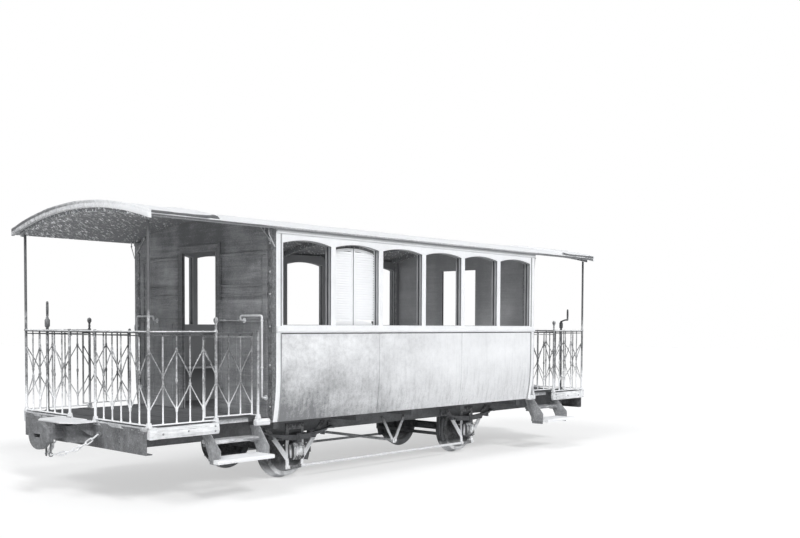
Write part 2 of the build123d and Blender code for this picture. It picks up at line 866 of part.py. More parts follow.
def axle(x):
    c = journal_radius
    hub = journal_radius + 12 - seat_gap
    points = [
        (0, -journal_end), (c, -journal_end), (c, -wheel_back - wheel_width - 26),
        (hub, -wheel_back - wheel_width - 26), (hub, -wheel_back + 40), (axle_radius, -wheel_back + 60),
        (axle_radius, wheel_back - 60), (hub, wheel_back - 40), (hub, wheel_back + wheel_width + 26),
        (c, wheel_back + wheel_width + 26), (c, journal_end), (0, journal_end),
    ]
    face = make_face(Polyline(*points, close=True))
    return Pos(x, 0, axle_z) * revolve(face, axis=Axis.Y)


for name, x in (("a", -axle_x), ("b", axle_x)):
    keep("axle_" + name, axle(x))
    keep("wheel_" + name + "_near", placed_wheel(x, -1))
    keep("wheel_" + name + "_far", placed_wheel(x, 1))

# Axle guards with their tie bar


def guard_outline(s):
    """One side of an axle guard as (x, z) points about the axle."""
    g = guard_gap
    leg = guard_leg
    foot = up(guard_foot_h)
    top = SOLEBAR_TOP - 103
    return [
        (s * g, foot), (s * (g + leg), foot), (s * (g + leg), foot + 72),
        (s * (g + leg + guard_spread), top), (s * (g + leg + guard_spread - 60), top),
        (s * (g + leg), foot + 157), (s * (g + leg), top), (s * g, top),
    ]


def axle_guard(x):
    y0 = -solebar_face - guard_thick - seat_gap
    y1 = -solebar_face - seat_gap
    pieces = []
    for s in (-1, 1):
        points = [(x + a, b) for a, b in guard_outline(s)]
        pieces.append(prism_xz(points, y0, y1))
    g = guard_gap + guard_leg
    pieces.append(block(x - g, x + g, y0, y1, SOLEBAR_TOP - 168, SOLEBAR_TOP - 103))
    pieces.append(block(x - g - 14, x + g + 14, y0 - 14, y0, up(guard_foot_h - 20), up(guard_foot_h + 18)))
    return pieces


tie_y = -solebar_face - guard_thick - seat_gap - 8
guards = axle_guard(-axle_x) + axle_guard(axle_x)
tie_end = axle_x - guard_gap - 16
guards.append(rod((-tie_end, tie_y, up(guard_foot_h)), (tie_end, tie_y, up(guard_foot_h)), tie_radius))
guard_near = join(guards)
keep("axle_guards", guard_near, across(guard_near))


def axlebox(x):
    """A cast box that slides between the guard's legs, with a sloped lid."""
    y_front = -box_front
    outline = [
        (-box_back, up(box_low_h)), (-box_back, up(box_high_h)), (y_front + 34, up(box_high_h)),
        (y_front, up(box_high_h - 46)), (y_front, up(box_low_h + 40)), (y_front + 26, up(box_low_h)),
    ]
    body = prism_yz(outline, x - box_half, x + box_half)
    bore = rod((x, -box_back + 1, axle_z), (x, -journal_end - 4, axle_z), journal_radius + running)
    body = body - bore
    slot_y0 = -solebar_face - guard_thick - seat_gap - 4
    slot_y1 = -solebar_face - seat_gap + 4
    pieces = [body]
    for s in (-1, 1):
        edge = x + s * box_half
        lip = x + s * (guard_gap + 18)
        pieces.append(block(edge, lip, -box_back, slot_y1 + 0.3, up(box_low_h + 20), up(box_high_h - 20)))
        pieces.append(block(edge, lip, slot_y0 - 26, slot_y0 - 0.3, up(box_low_h + 20), up(box_high_h - 20)))
    return join(pieces)


boxes = []
for x in (-axle_x, axle_x):
    box_solid = axlebox(x)
    boxes += [box_solid, across(box_solid)]
keep("axleboxes", *boxes)


def leaf_spring(x):
    """Laminated spring over an axlebox, with its buckle and end shackles."""
    half = 505.0
    leaf = 11.0
    count = 5
    y0, y1 = (-box_front + 8, -box_front + 60)
    z_mid = up(box_high_h) + 30
    sag = 60.0
    radius = (half**2 + sag**2) / (2 * sag)
    centre = z_mid + radius
    pieces = []
    for i in range(count):
        reach = half * (1 - 0.17 * (count - 1 - i))
        r_out = radius - i * leaf
        r_in = r_out - leaf - 0.1
        end = math.asin(reach / radius)

        def at(r, a):
            return (x + r * math.sin(a), centre - r * math.cos(a))

        edges = [
            ThreePointArc(at(r_out, -end), at(r_out, 0), at(r_out, end)),
            Line(at(r_out, end), at(r_in, end)),
            ThreePointArc(at(r_in, end), at(r_in, 0), at(r_in, -end)),
            Line(at(r_in, -end), at(r_out, -end)),
        ]
        solid = extrude(Plane.XZ * make_face(edges), amount=-(y1 - y0))
        pieces.append(Pos(0, y0, 0) * solid)
    pieces.append(block(x - 32, x + 32, y0 - 7, y1 + 7, up(box_high_h) + seat_gap, z_mid + count * leaf + 14))
    z_eye = z_mid + sag + count * leaf - 6
    for s in (-1, 1):
        x_eye = x + s * half
        pieces.append(rod((x_eye, y0 - 6, z_eye - 8), (x_eye, y1 + 26, z_eye - 8), 16))
        pieces.append(block(x_eye - 26, x_eye + 26, y1 + 8, -solebar_face - seat_gap, z_eye - 26, z_eye + 44))
    return join(pieces)


springs = []
for x in (-axle_x, axle_x):
    spring = leaf_spring(x)
    springs += [spring, across(spring)]
keep("springs", *springs)

# Hand brake column and crank on each platform, turned half a circle from end to end
brake_x = -post_x + 84
brake_y = post_out - 300
brake_h = rail_h + 107.0
crank_reach = 180.0
crank_turn = 63.0
grip_length = 160.0


def brake_column():
    """Spindle, foot bearing, nut box and crank."""
    a = math.radians(crank_turn)
    tip = (brake_x + crank_reach * math.cos(a), brake_y + crank_reach * math.sin(a))
    top = up(brake_h)
    return join([
        rod((brake_x, brake_y, SOLEBAR_LOW - 60), (brake_x, brake_y, top + 22), 15),
        rod((brake_x, brake_y, FLOOR), (brake_x, brake_y, FLOOR + 36), 40),
        rod((brake_x, brake_y, top - 80), (brake_x, brake_y, top), 26),
        rod((brake_x, brake_y, top + 10), (tip[0], tip[1], top + 40), 11),
        rod((tip[0], tip[1], top + 30), (tip[0], tip[1], top + 30 + grip_length), 14),
    ])


column = brake_column()
hole = rod((brake_x, brake_y, SOLEBAR_TOP - 1), (brake_x, brake_y, FLOOR + 1), 15 + seat_gap)
platform_a = platform_floor - hole
keep("platform_floors", platform_a, Rot(0, 0, 180) * platform_a)
keep("brake_columns", column, Rot(0, 0, 180) * column)

# Brake rigging: a block on the inner side of each wheel, on a hanger, with a cross beam
block_gap = 8.0


def brake_gear(x, s):
    """Blocks, hangers and beam on the side of the axle that faces the middle."""
    r0 = wheel_radius + block_gap
    r1 = r0 + 46
    a0 = math.radians(-26)
    a1 = math.radians(26)
    y_mid = wheel_back + flange_width + 48
    width = 70.0
    z_mid = axle_z

    def at(r, a):
        return (x + s * r * math.cos(a), z_mid + r * math.sin(a))

    pieces = []
    for side in (-1, 1):
        edges = [
            ThreePointArc(at(r0, a0), at(r0, 0), at(r0, a1)),
            Line(at(r0, a1), at(r1, a1)),
            ThreePointArc(at(r1, a1), at(r1, 0), at(r1, a0)),
            Line(at(r1, a0), at(r0, a0)),
        ]
        solid = extrude(Plane.XZ * make_face(edges), amount=-width)
        pieces.append(Pos(0, side * y_mid - width / 2, 0) * solid)
        xh = x + s * (r1 + 10)
        y_low = side * y_mid - 22
        y_web = side * (solebar_face - steel - seat_gap)
        z_high = SOLEBAR_TOP - 120
        pieces.append(block(xh - 12, xh + 12, y_low, y_low + 44, z_mid - 70, z_high))
        pieces.append(block(xh - 12, xh + 12, y_low, y_web, z_high - 30, z_high))
    xb = x + s * (r1 + 10)
    pieces.append(block(xb - 20, xb + 20, -y_mid, y_mid, z_mid - 70, z_mid - 34))
    return join(pieces)


keep("brake_gear", brake_gear(-axle_x, 1), brake_gear(axle_x, -1))

# Centre buffers on the headstocks, with a mouth and a pin hole for a link
buffer_h = 600.0
buffer_reach = 440.0
pot_length = 120.0
pot_half = 85.0
pot_high = 150.0
mouth_half = 18.0
pin_x = 380.0
pin_radius = 18.0


def centre_buffer():
    z = up(buffer_h)
    x0 = -frame_half - seat_gap
    tip = x0 - buffer_reach
    base = Plane.YZ.offset(x0) * Rectangle(400, 180)
    neck = Plane.YZ.offset(x0 - 200) * Rectangle(230, 150)
    housing = Pos(0, 0, z) * loft([base.faces()[0], neck.faces()[0]])
    shank = rod((x0 - 190, 0, z), (tip + pot_length - 5, 0, z), 45)
    pot = block(tip + 6, tip + pot_length, -pot_half, pot_half, z - pot_high / 2, z + pot_high / 2)
    face_r = 1500.0
    ball = Pos(tip + face_r, 0, z) * Sphere(face_r)
    oval = Pos(tip + 22, 0, z) * Rot(0, 90, 0) * extrude(Ellipse(130, 190), amount=22, both=True)
    head = join([housing, shank, pot, oval & ball])
    mouth_wide = pot_half - 22
    mouth = block(tip - 10, tip + pot_length - 16, -mouth_wide, mouth_wide, z - mouth_half, z + mouth_half)
    hole = rod((x0 - pin_x, 0, z - pot_high), (x0 - pin_x, 0, z + pot_high), pin_radius)
    return head - mouth - hole


buffer_a = centre_buffer()

# Safety chains: flat-sided links from an eye on the headstock to a staple below the buffer
link_bar = 10.0
link_half_width = 20.0
link_play = 0.9
link_count = 7
chain_start = (-frame_half - 34.0, -383.0, up(606.0))
chain_end = (-frame_half - 318.0, -52.0, up(415.0))
chain_drop = 46.0


def chain_line(count):
    """Points evenly spaced along a hanging curve between the chain's ends."""
    a = Vector(*chain_start)
    b = Vector(*chain_end)
    fine = []
    for i in range(401):
        t = i / 400
        p = a + (b - a) * t
        fine.append(Vector(p.X, p.Y, p.Z - 4 * chain_drop * t * (1 - t)))
    run = [0.0]
    for i in range(400):
        run.append(run[-1] + (fine[i + 1] - fine[i]).length)
    points = []
    for k in range(count + 1):
        want = run[-1] * k / count
        i = min(range(401), key=lambda j: abs(run[j] - want))
        points.append(fine[i])
    return points


def link(a, b, turned):
    """A long link between two points of the chain, as a flat ring with cut corners."""
    d = b - a
    half = d.length / 2 + (link_bar + link_play) / 2 + link_bar / 2
    ring = []
    for grow in (0.0, -link_bar):
        u = half + grow
        v = link_half_width + grow
        c = 11.0 if grow == 0.0 else 5.0
        ring.append(Polyline(
            (-u, -v + c), (-u + c, -v), (u - c, -v), (u, -v + c),
            (u, v - c), (u - c, v), (-u + c, v), (-u, v - c), close=True,
        ))
    along_link = d.normalized()
    level = Vector(0, 0, 1).cross(along_link).normalized()
    normal = along_link.cross(level) if turned else level
    plane = Plane(origin=(a + b) * 0.5, x_dir=along_link, z_dir=normal)
    flat = make_face(ring[0]) - make_face(ring[1])
    return plane * (Pos(0, 0, -link_bar / 2) * extrude(flat, amount=link_bar))


def safety_chain():
    points = chain_line(link_count)
    pieces = []
    for i in range(link_count):
        pieces.append(link(points[i], points[i + 1], i % 2 == 0))
    return pieces


chain = safety_chain()
chains = []
for piece in chain:
    chains += four(piece)


staple_out = 22.0
staple_in = 12.0
seat_offset = (link_bar + link_play) / 2 + 5.1


def staple(centre, towards):
    """A ring around the end of a link, in the upright plane of the chain."""
    level = Vector(0, 0, 1).cross(Vector(towards.X, towards.Y, 0)).normalized()
    plane = Plane(origin=centre, z_dir=level)
    return plane * (Cylinder(staple_out, link_bar) - Cylinder(staple_in, link_bar + 2))


def chain_staples():
    """The first is on the headstock and the second under the buffer."""
    points = chain_line(link_count)
    first = (points[1] - points[0]).normalized()
    last = (points[-1] - points[-2]).normalized()
    c = points[0] - first * seat_offset
    back = c - Vector(first.X, first.Y, 0).normalized() * (staple_in + staple_out) / 2
    root = rod((back.X, back.Y, back.Z), (-frame_half + 1, back.Y, back.Z), 6)
    eye = join([staple(c, first), root])
    c = points[-1] + last * seat_offset
    root = block(c.X - 6, c.X + 6, c.Y - 10, c.Y + 10, c.Z + 14, up(buffer_h) - 40)
    hook = join([staple(c, last), root])
    return eye, hook


keep("safety_chains", *chains)
eye, hook = chain_staples()
headstock_a = join([headstock_a, eye, across(eye)])
keep("headstocks", headstock_a, along(headstock_a))
buffer_a = join([buffer_a, hook, across(hook)])
keep("centre_buffers", buffer_a, along(buffer_a))

# Stays in the corners between the roof and the body, outside the bulkheads
stay_radius = 7.0
stay_edge = 67.0
stay_reach = 155.0
stay_out = half_width - stay_edge
stay_in = stay_out - stay_reach
stay_drop = 150.0
pad = 22.0


def eave_bracket():
    x = -body_half - stay_radius - seat_gap
    foot_z = SIDE_TOP - stay_drop
    head_z = under_roof(stay_in + pad) - seat_gap
    return join([
        rod((x, -stay_out, foot_z), (x, -stay_in, head_z - 8), stay_radius),
        block(x - 14, x + stay_radius, -stay_out - pad, -stay_out + pad, foot_z - pad, foot_z + pad),
        block(x - 14, x + stay_radius, -stay_in - pad, -stay_in + pad, head_z - 16, head_z),
    ])


keep("eave_brackets", *four(eave_bracket()))

# Slatted benches along both sides, under the windows
bench_depth = 430.0
bench_h = floor_h + 427.0


def bench():
    y_wall = -inner_half + 12
    pieces = []
    slat = 58.0
    gap = 14.0
    reach = body_half - bulkhead_thick - 60
    z = up(bench_h)
    for i in range(6):
        y0 = y_wall + 8 + i * (slat + gap)
        pieces.append(block(-reach, reach, y0, y0 + slat, z - 22, z))
    for k in range(5):
        x = (k - 2) * reach * 0.49
        pieces.append(
            block(x - 18, x + 18, -inner_half + 6, y_wall + 8 + 6 * slat + 5 * gap, z - 70, z - 20)
        )
        pieces.append(block(x - 18, x + 18, y_wall + 6 * slat + 5 * gap - 50, y_wall + 6 * slat + 5 * gap,
                            FLOOR, z - 60))
    return join(pieces)


bench_near = bench()
keep("benches", bench_near, across(bench_near))

os.makedirs("parts", exist_ok=True)
for name, solids in parts.items():
    shape = solids[0] if len(solids) == 1 else Compound(children=solids)
    export_step(shape, os.path.join("parts", name + ".step"))
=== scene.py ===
"""The looks of a narrow-gauge four-wheel passenger carriage with open end platforms.

Metres. +X runs along the carriage, +Y across it and +Z up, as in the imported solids. Every
surface is worked out from two parameters, or from a profile carried along a path, and is
closed. Pieces are made for the corner at end a (-X) on the near side (-Y) and mirrored.
"""

import math

import bmesh
import bpy
import numpy as np
from mathutils import Matrix, Vector


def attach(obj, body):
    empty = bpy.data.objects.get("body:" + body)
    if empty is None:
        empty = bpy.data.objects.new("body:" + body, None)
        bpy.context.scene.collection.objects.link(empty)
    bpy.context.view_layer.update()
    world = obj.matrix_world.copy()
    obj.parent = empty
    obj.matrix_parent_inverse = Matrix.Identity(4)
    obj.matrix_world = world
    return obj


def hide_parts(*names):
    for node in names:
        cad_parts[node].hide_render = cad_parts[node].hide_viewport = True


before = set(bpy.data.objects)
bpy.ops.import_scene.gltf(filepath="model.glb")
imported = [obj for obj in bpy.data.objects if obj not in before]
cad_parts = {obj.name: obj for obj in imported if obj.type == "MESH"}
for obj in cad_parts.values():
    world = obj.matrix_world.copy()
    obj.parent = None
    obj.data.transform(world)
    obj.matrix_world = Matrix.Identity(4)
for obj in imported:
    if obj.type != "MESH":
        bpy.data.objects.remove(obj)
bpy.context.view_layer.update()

# Sizes of the body and its platforms
RAIL = 0.028
FLOOR = 0.751
FLOOR_UNDER = FLOOR - 0.035
BODY_HALF = 2.190
FRAME_HALF = 3.570
SIDE_Y = 1.272
WALL = 0.092
BAY = 0.710
BAYS = 6
SHUT_BAY = 1
SHUTTER_X = (SHUT_BAY - (BAYS - 1) / 2) * BAY
PILLAR = 0.076
PANEL_LOW = FLOOR - 0.043
TURN_START = FLOOR + 0.457
TURN_IN = 0.054
TURN_R = ((TURN_START - PANEL_LOW) ** 2 + TURN_IN**2) / (2 * TURN_IN)
WAIST = FLOOR + 0.840
SILL = WAIST + 0.071
WINDOW_WIDTH = 0.654
WINDOW_SPRING = SILL + 0.818
WINDOW_RISE = 0.042
ARCH_R = ((WINDOW_WIDTH / 2) ** 2 + WINDOW_RISE**2) / (2 * WINDOW_RISE)
ARCH_Z = WINDOW_SPRING + WINDOW_RISE - ARCH_R
DOOR_HALF = 0.300
DOOR_TOP = FLOOR + 1.689
DOOR_FRAME = 0.084
PROUD = 0.012

# Sizes of the roof
ROOF_HALF = SIDE_Y + 0.034
ROOF_EDGE = WINDOW_SPRING + WINDOW_RISE + 0.080
ROOF_RISE = 0.176
ROOF_THICK = 0.036
ROOF_RADIUS = (ROOF_HALF**2 + ROOF_RISE**2) / (2 * ROOF_RISE)
ROOF_CENTRE = ROOF_EDGE + ROOF_THICK + ROOF_RISE - ROOF_RADIUS
POST_X = FRAME_HALF - 0.022
ROOF_END = POST_X + 0.054
HOOD_LENGTH = 0.724
HOOD_THICK = 0.024
FASCIA = 0.030
FASCIA_DROP = 0.012

# Sizes of the platform ironwork
POST_Y = SIDE_Y - 0.107
POST_R = 0.0135
RAIL_TOP = FLOOR + 0.860
RAIL_LOW = RAIL_TOP - 0.037
RAIL_FOOT = FLOOR + 0.028
JOINTS = (RAIL_TOP - 0.172, RAIL_TOP - 0.412, RAIL_TOP - 0.485, RAIL_TOP - 0.715)
BALUSTER_R = 0.0075
HINGE_X = BODY_HALF + 0.139
GATE_X = HINGE_X + 0.043
GATE_Y = POST_Y - 0.042
GATE_LENGTH = 0.556
LATCH_X = GATE_X + GATE_LENGTH - 0.101
GANGWAY = 0.245
GATE_TOP = RAIL_TOP - 0.020
GATE_FOOT = RAIL_FOOT + 0.016

# Sizes of the running gear
WHEEL_R = 0.295
AXLE_Z = RAIL + WHEEL_R
AXLE_X = 1.475
SOLEBAR_Y = 0.712
SOLEBAR_LOW = FLOOR_UNDER - 0.200
BEAM_IN = POST_Y - 0.031
BEAM_THICK = 0.062


def up(height):
    """A height over the rail, as a Z of the model."""
    return height + RAIL


def roof_z(y, radius=ROOF_RADIUS):
    """Height of the circle of that radius about the roof's centre, at y from the middle."""
    return ROOF_CENTRE + np.sqrt(radius**2 - np.asarray(y) ** 2)


# Height above which the mouldings carry painted shade under the roof's eave
EAVE_SHADE = float(roof_z(SIDE_Y + 0.022, ROOF_RADIUS - ROOF_THICK)) - 0.022

# Shader maths


class Value:
    """A number socket on which Python's operators add Math nodes."""

    def __init__(self, tree, socket):
        self.tree = tree
        self.socket = socket

    def maths(self, operation, *others):
        made = self.tree.nodes.new("ShaderNodeMath")
        made.operation = operation
        for slot, value in zip(made.inputs, (self,) + others):
            if isinstance(value, Value):
                self.tree.links.new(value.socket, slot)
            else:
                slot.default_value = value
        return Value(self.tree, made.outputs[0])

    def __add__(self, other):
        return self.maths("ADD", other)

    __radd__ = __add__

    def __mul__(self, other):
        return self.maths("MULTIPLY", other)

    __rmul__ = __mul__

    def __sub__(self, other):
        return self.maths("SUBTRACT", other)

    def __rsub__(self, other):
        return (self * -1.0) + other

    def __truediv__(self, other):
        return self.maths("DIVIDE", other)

    def clamp(self):
        return self.maths("MAXIMUM", 0.0).maths("MINIMUM", 1.0)

    def step(self, low, high):
        """0 below low, 1 over high and a straight rise between."""
        return self.maths("SUBTRACT", low).maths("DIVIDE", high - low).clamp()

    def whole(self):
        return self.maths("FLOOR")

    def part(self):
        return self.maths("FRACT")

    def size(self):
        return self.maths("ABSOLUTE")


class Finish:
    """One material: its nodes, its maths and its Principled shader."""

    def __init__(self, name, roughness=0.62):
        self.name = name
        self.material = bpy.data.materials.new(name)
        self.material.use_nodes = True
        self.tree = self.material.node_tree
        self.tree.nodes.clear()
        self.out = self.tree.nodes.new("ShaderNodeOutputMaterial")
        self.shader = self.tree.nodes.new("ShaderNodeBsdfPrincipled")
        self.tree.links.new(self.shader.outputs[0], self.out.inputs[0])
        self.shader.inputs["Roughness"].default_value = roughness
        self.shader.inputs["Metallic"].default_value = 0.0
        self.place = self.node("ShaderNodeTexCoord").outputs["Object"]

    def node(self, kind, settings=None, inputs=None):
        """One node: its settings first, then the values or links of its sockets."""
        made = self.tree.nodes.new(kind)
        for key, value in (settings or {}).items():
            setattr(made, key, value)
        for key, value in (inputs or {}).items():
            slot = made.inputs[key]
            if isinstance(value, Value):
                self.tree.links.new(value.socket, slot)
            elif isinstance(value, bpy.types.NodeSocket):
                self.tree.links.new(value, slot)
            else:
                slot.default_value = value
        return made

    def noise(self, scale, detail, rough, stretch=(1.0, 1.0, 1.0), shift=0.0, warp=0.0, turn=0.0):
        """Cloudy noise on Object coordinates, stretched and moved, or turned and drawn out."""
        place = self.node("ShaderNodeMapping", {"vector_type": "TEXTURE" if turn else "POINT"}, {
            "Vector": self.place, "Scale": stretch, "Location": (shift, shift * 0.7, -shift),
            "Rotation": (0.0, 0.0, turn),
        }).outputs[0]
        inputs = {"Vector": place, "Scale": scale, "Detail": detail, "Roughness": rough,
                  "Distortion": warp}
        return Value(self.tree, self.node("ShaderNodeTexNoise", None, inputs).outputs[0])

    def part_of(self, vector, name):
        """One part of a vector as a number."""
        made = self.node("ShaderNodeSeparateXYZ", None, {"Vector": vector})
        return Value(self.tree, made.outputs[name])

    def axis(self, name):
        """One Object coordinate as a number."""
        return self.part_of(self.place, name)

    def facing(self, name):
        """One part of the surface's normal."""
        return self.part_of(self.node("ShaderNodeNewGeometry").outputs["Normal"], name)

    def inward(self):
        """1 on faces that look to the middle of the carriage, 0 on the outer ones."""
        return (self.axis("Y") * self.facing("Y") * -1.0).step(0.3, 0.6)

    def chance(self, number):
        """A random share that changes with a whole number."""
        made = self.node("ShaderNodeTexWhiteNoise", {"noise_dimensions": "1D"}, {"W": number})
        return Value(self.tree, made.outputs[0])

    def mix(self, share, low, high):
        """From colour low to colour high, where a bare number stands for a grey of that level."""
        low, high = (grey(c) if isinstance(c, float) else c for c in (low, high))
        made = self.node("ShaderNodeMix", {"data_type": "RGBA"}, {0: share, 6: low, 7: high})
        return made.outputs[2]

    def set(self, socket, value):
        if isinstance(value, Value):
            value = value.socket
        if isinstance(value, bpy.types.NodeSocket):
            self.tree.links.new(value, self.shader.inputs[socket])
        else:
            self.shader.inputs[socket].default_value = value

    def colour(self, value):
        self.set("Base Color", value)

    def bump(self, height, depth):
        inputs = {"Height": height, "Distance": depth, "Strength": 1.0}
        self.set("Normal", self.node("ShaderNodeBump", None, inputs).outputs[0])


BLEACH = 0.995
# A height over the whole carriage
OVERHEAD = 9.0


def grey(level, tint=0.008):
    """A grey of that sRGB level from 0 to 1, as a linear colour, with a cold tint in the darks."""
    linear = ((level + 0.055) / 1.055) ** 2.4 if level > 0.04045 else level / 12.92
    tint = tint * (1.4 - level) * 4
    return (linear * (1 - tint), linear * (1 - tint * 0.3), linear * (1 + tint), 1.0)


def side_paint():
    """Chalky, mottled paint on the lower side, darker and speckled towards its foot, with a dark
    line of painted shade just under the waist moulding.
    """
    f = Finish("side_paint")
    height = f.axis("Z")
    wide = f.noise(1.9, 6.0, 0.6, (1.0, 1.0, 1.5))
    fine = f.noise(24.0, 8.0, 0.72)
    speck = f.noise(95.0, 4.0, 0.8)
    runs = f.noise(8.0, 5.0, 0.6, (3.0, 3.0, 0.3), 4.0)
    foot = 1.0 - height.step(0.70, 1.32)
    # The mottling and the darkening at the foot grow stronger towards end a (-X).
    back = 1.0 - f.axis("X").step(-2.2, 0.6)
    dirt = (wide.step(0.34, 0.70) * 0.6 + fine.step(0.42, 0.72) * 0.35) * (0.22 + back * 0.75)
    dirt = dirt + foot * (0.16 + 0.55 * back) + runs.step(0.48, 0.78) * 0.3 * (0.3 + foot)
    dirt = (dirt + speck.step(0.52, 0.68) * 0.42 * (foot * 0.8 + 0.12)).clamp()
    # Painted shade: a dark line just under the waist moulding, where its shadow falls.
    shade_under_moulding = height.step(WAIST - 0.014, WAIST - 0.010)
    paint = f.mix(dirt, 0.97, 0.52)
    f.colour(f.mix(shade_under_moulding, f.mix(f.inward(), paint, 0.50), 0.26))
    f.set("Roughness", 0.5 + dirt * 0.3)
    f.bump(wide * 0.8 + fine * 0.12 + speck * 0.03, 0.004)
    return f


def brushed_paint(name, level, dark, amount, roughness=0.5, inside=0.0, ends=0.0, shade_above=0.0,
                  seam=0.0):
    """Brushed oil paint with soft stains and chips, which may be of another tone inside and on end
    faces.
    It may also carry painted shade above a height, under the roof's eave, and a line of painted
    shade at a seam."""
    f = Finish(name, roughness=roughness)
    wide = f.noise(3.0, 5.0, 0.6)
    fine = f.noise(30.0, 7.0, 0.7)
    speck = f.noise(120.0, 3.0, 0.8)
    dirt = wide.step(0.42, 0.8) * 0.6 + fine.step(0.5, 0.8) * 0.5 + speck.step(0.62, 0.75) * 0.4
    dirt = (dirt * amount).clamp()
    paint = f.mix(dirt, level, dark)
    if inside:
        paint = f.mix(f.inward(), paint, f.mix(dirt, inside, inside * 1.2))
    if ends:
        spots = (fine.step(0.44, 0.66) * 0.7 + speck.step(0.5, 0.66) * 0.5).clamp()
        across = f.facing("X").size().step(0.6, 0.8)
        paint = f.mix(across, paint, f.mix(spots, ends, ends * 1.5))
    # Painted shade under the roof's eave: darker above that height.
    if shade_above:
        paint = f.mix(f.axis("Z").step(shade_above - 0.004, shade_above), paint, f.mix(dirt, 0.72, 0.50))
    # Painted shade: a darker line along the gap where the two shutter leaves meet.
    if seam:
        paint = f.mix((f.axis("X") - seam).size().step(0.004, 0.009), 0.62, paint)
    f.colour(paint)
    f.set("Roughness", roughness + dirt * 0.25)
    f.bump(fine * 0.6 + speck * 0.2, 0.0006)
    return f


def reveal_wood():
    """Bare jambs inside the windows: grey streaks, with painted shade in a dark groove behind the
    bead and deeper in, behind the stop.
    """
    f = Finish("reveal_wood", roughness=0.7)
    depth = SIDE_Y - f.axis("Y").size()
    streak = f.noise(16.0, 6.0, 0.7, (14.0, 14.0, 0.35))
    speck = f.noise(70.0, 5.0, 0.8)
    # Painted shade: a dark band in the groove behind the bead, and darker still behind the stop,
    # deep in the window.
    groove = depth.step(0.013, 0.016) * (1.0 - depth.step(0.023, 0.026))
    deep = depth.step(0.046, 0.056)
    dirt = streak.step(0.38, 0.66) * 0.5 + speck.step(0.5, 0.7) * 0.25
    dirt = (dirt + groove * 0.8 + deep * 0.8).clamp()
    f.colour(f.mix(dirt, 0.70, 0.32))
    f.bump(streak, 0.001)
    return f


IRON_ROUGHNESS = 0.62


def iron(name, level, worn, amount, low=0.0, high=0.0):
    """Painted iron with rust and rubbed spots, paler on upward faces, which may be paler from the
    ground up: painted sunlight on the wheels' lower rims, below the shade under the body.
    """
    f = Finish(name)
    wide = f.noise(6.0, 6.0, 0.65)
    fine = f.noise(45.0, 8.0, 0.75)
    pits = f.noise(170.0, 4.0, 0.8)
    wear_and_light = wide.step(0.42, 0.62) * 0.5 + fine.step(0.47, 0.66) * 0.55
    # Upward faces paler.
    wear_and_light = ((wear_and_light + f.facing("Z").step(0.2, 1.0) * 0.3) * amount).clamp()
    # Painted light: paler from the ground up to the given height; on the wheels, the sunlit lower
    # rim below the body's shadow.
    if high:
        pale_low = 1.0 - (f.axis("Z") + wide * 0.08 - 0.04).step(low, high)
        wear_and_light = (wear_and_light * 0.45 + pale_low * 0.9).clamp()
    f.colour(f.mix(wear_and_light, level, worn))
    f.set("Roughness", IRON_ROUGHNESS + fine * 0.2)
    f.bump(fine * 0.8 + pits * 0.35, 0.0014)
    return f


def rusty_plate():
    """Scaly headstock plate with pale runs and rust spots."""
    f = Finish("frame_iron", roughness=0.72)
    wide = f.noise(4.0, 6.0, 0.65)
    runs = f.noise(12.0, 6.0, 0.7, (1.0, 1.0, 0.25), 2.0)
    fine = f.noise(60.0, 8.0, 0.8)
    pits = f.noise(190.0, 4.0, 0.8)
    pale = wide.step(0.38, 0.66) * 0.45 + runs.step(0.5, 0.72) * 0.5
    pale = (pale + fine.step(0.5, 0.64) * 0.5).clamp()
    f.colour(f.mix(pale, 0.33, 0.62))
    f.bump(fine * 0.7 + pits * 0.4, 0.0018)
    return f


def planks(name, level, dark, along, across, width, joints=1.0):
    """Boards with grain along one axis, each a little lighter or darker than the next."""
    f = Finish(name, roughness=0.72)
    stretch = tuple(0.5 if axis == along else 12.0 for axis in "XYZ")
    grain = f.noise(3.2, 7.0, 0.7, stretch, 0.0, 0.7)
    fine = f.noise(15.0, 5.0, 0.75, stretch, 3.0)
    worn = f.noise(2.2, 6.0, 0.65)
    place = f.axis(across) / width
    board = f.chance(place.whole())
    seam = (place.part() - 0.5).size().step(0.46, 0.5) * joints
    dirt = grain.step(0.38, 0.7) * 0.45 + fine.step(0.42, 0.7) * 0.3 + worn.step(0.38, 0.72) * 0.35
    dirt = (dirt + board * 0.3 - 0.15 + seam * 0.6).clamp()
    f.colour(f.mix(dirt, level, dark))
    f.bump(grain * 0.5 + fine * 0.4 - seam * 1.2, 0.0016)
    return f


def scrubbed_boards():
    """Step boards: the lower one scrubbed white, the upper one duller and streaked."""
    f = Finish("tread_wood", roughness=0.7)
    grain = f.noise(3.2, 7.0, 0.7, (0.5, 12.0, 12.0), 0.0, 0.7)
    streak = f.noise(9.0, 5.0, 0.7, (1.0, 6.0, 6.0), 5.0)
    upper = f.axis("Z").step(0.45, 0.50)
    right = f.axis("X").step(-2.9, -2.2) * 0.5
    dull = upper * (0.1 + streak.step(0.4, 0.62) * 0.5 + right)
    dirt = (grain.step(0.4, 0.75) * 0.25 + dull).clamp()
    f.colour(f.mix(dirt, 0.998, 0.50))
    f.bump(grain, 0.0016)
    return f


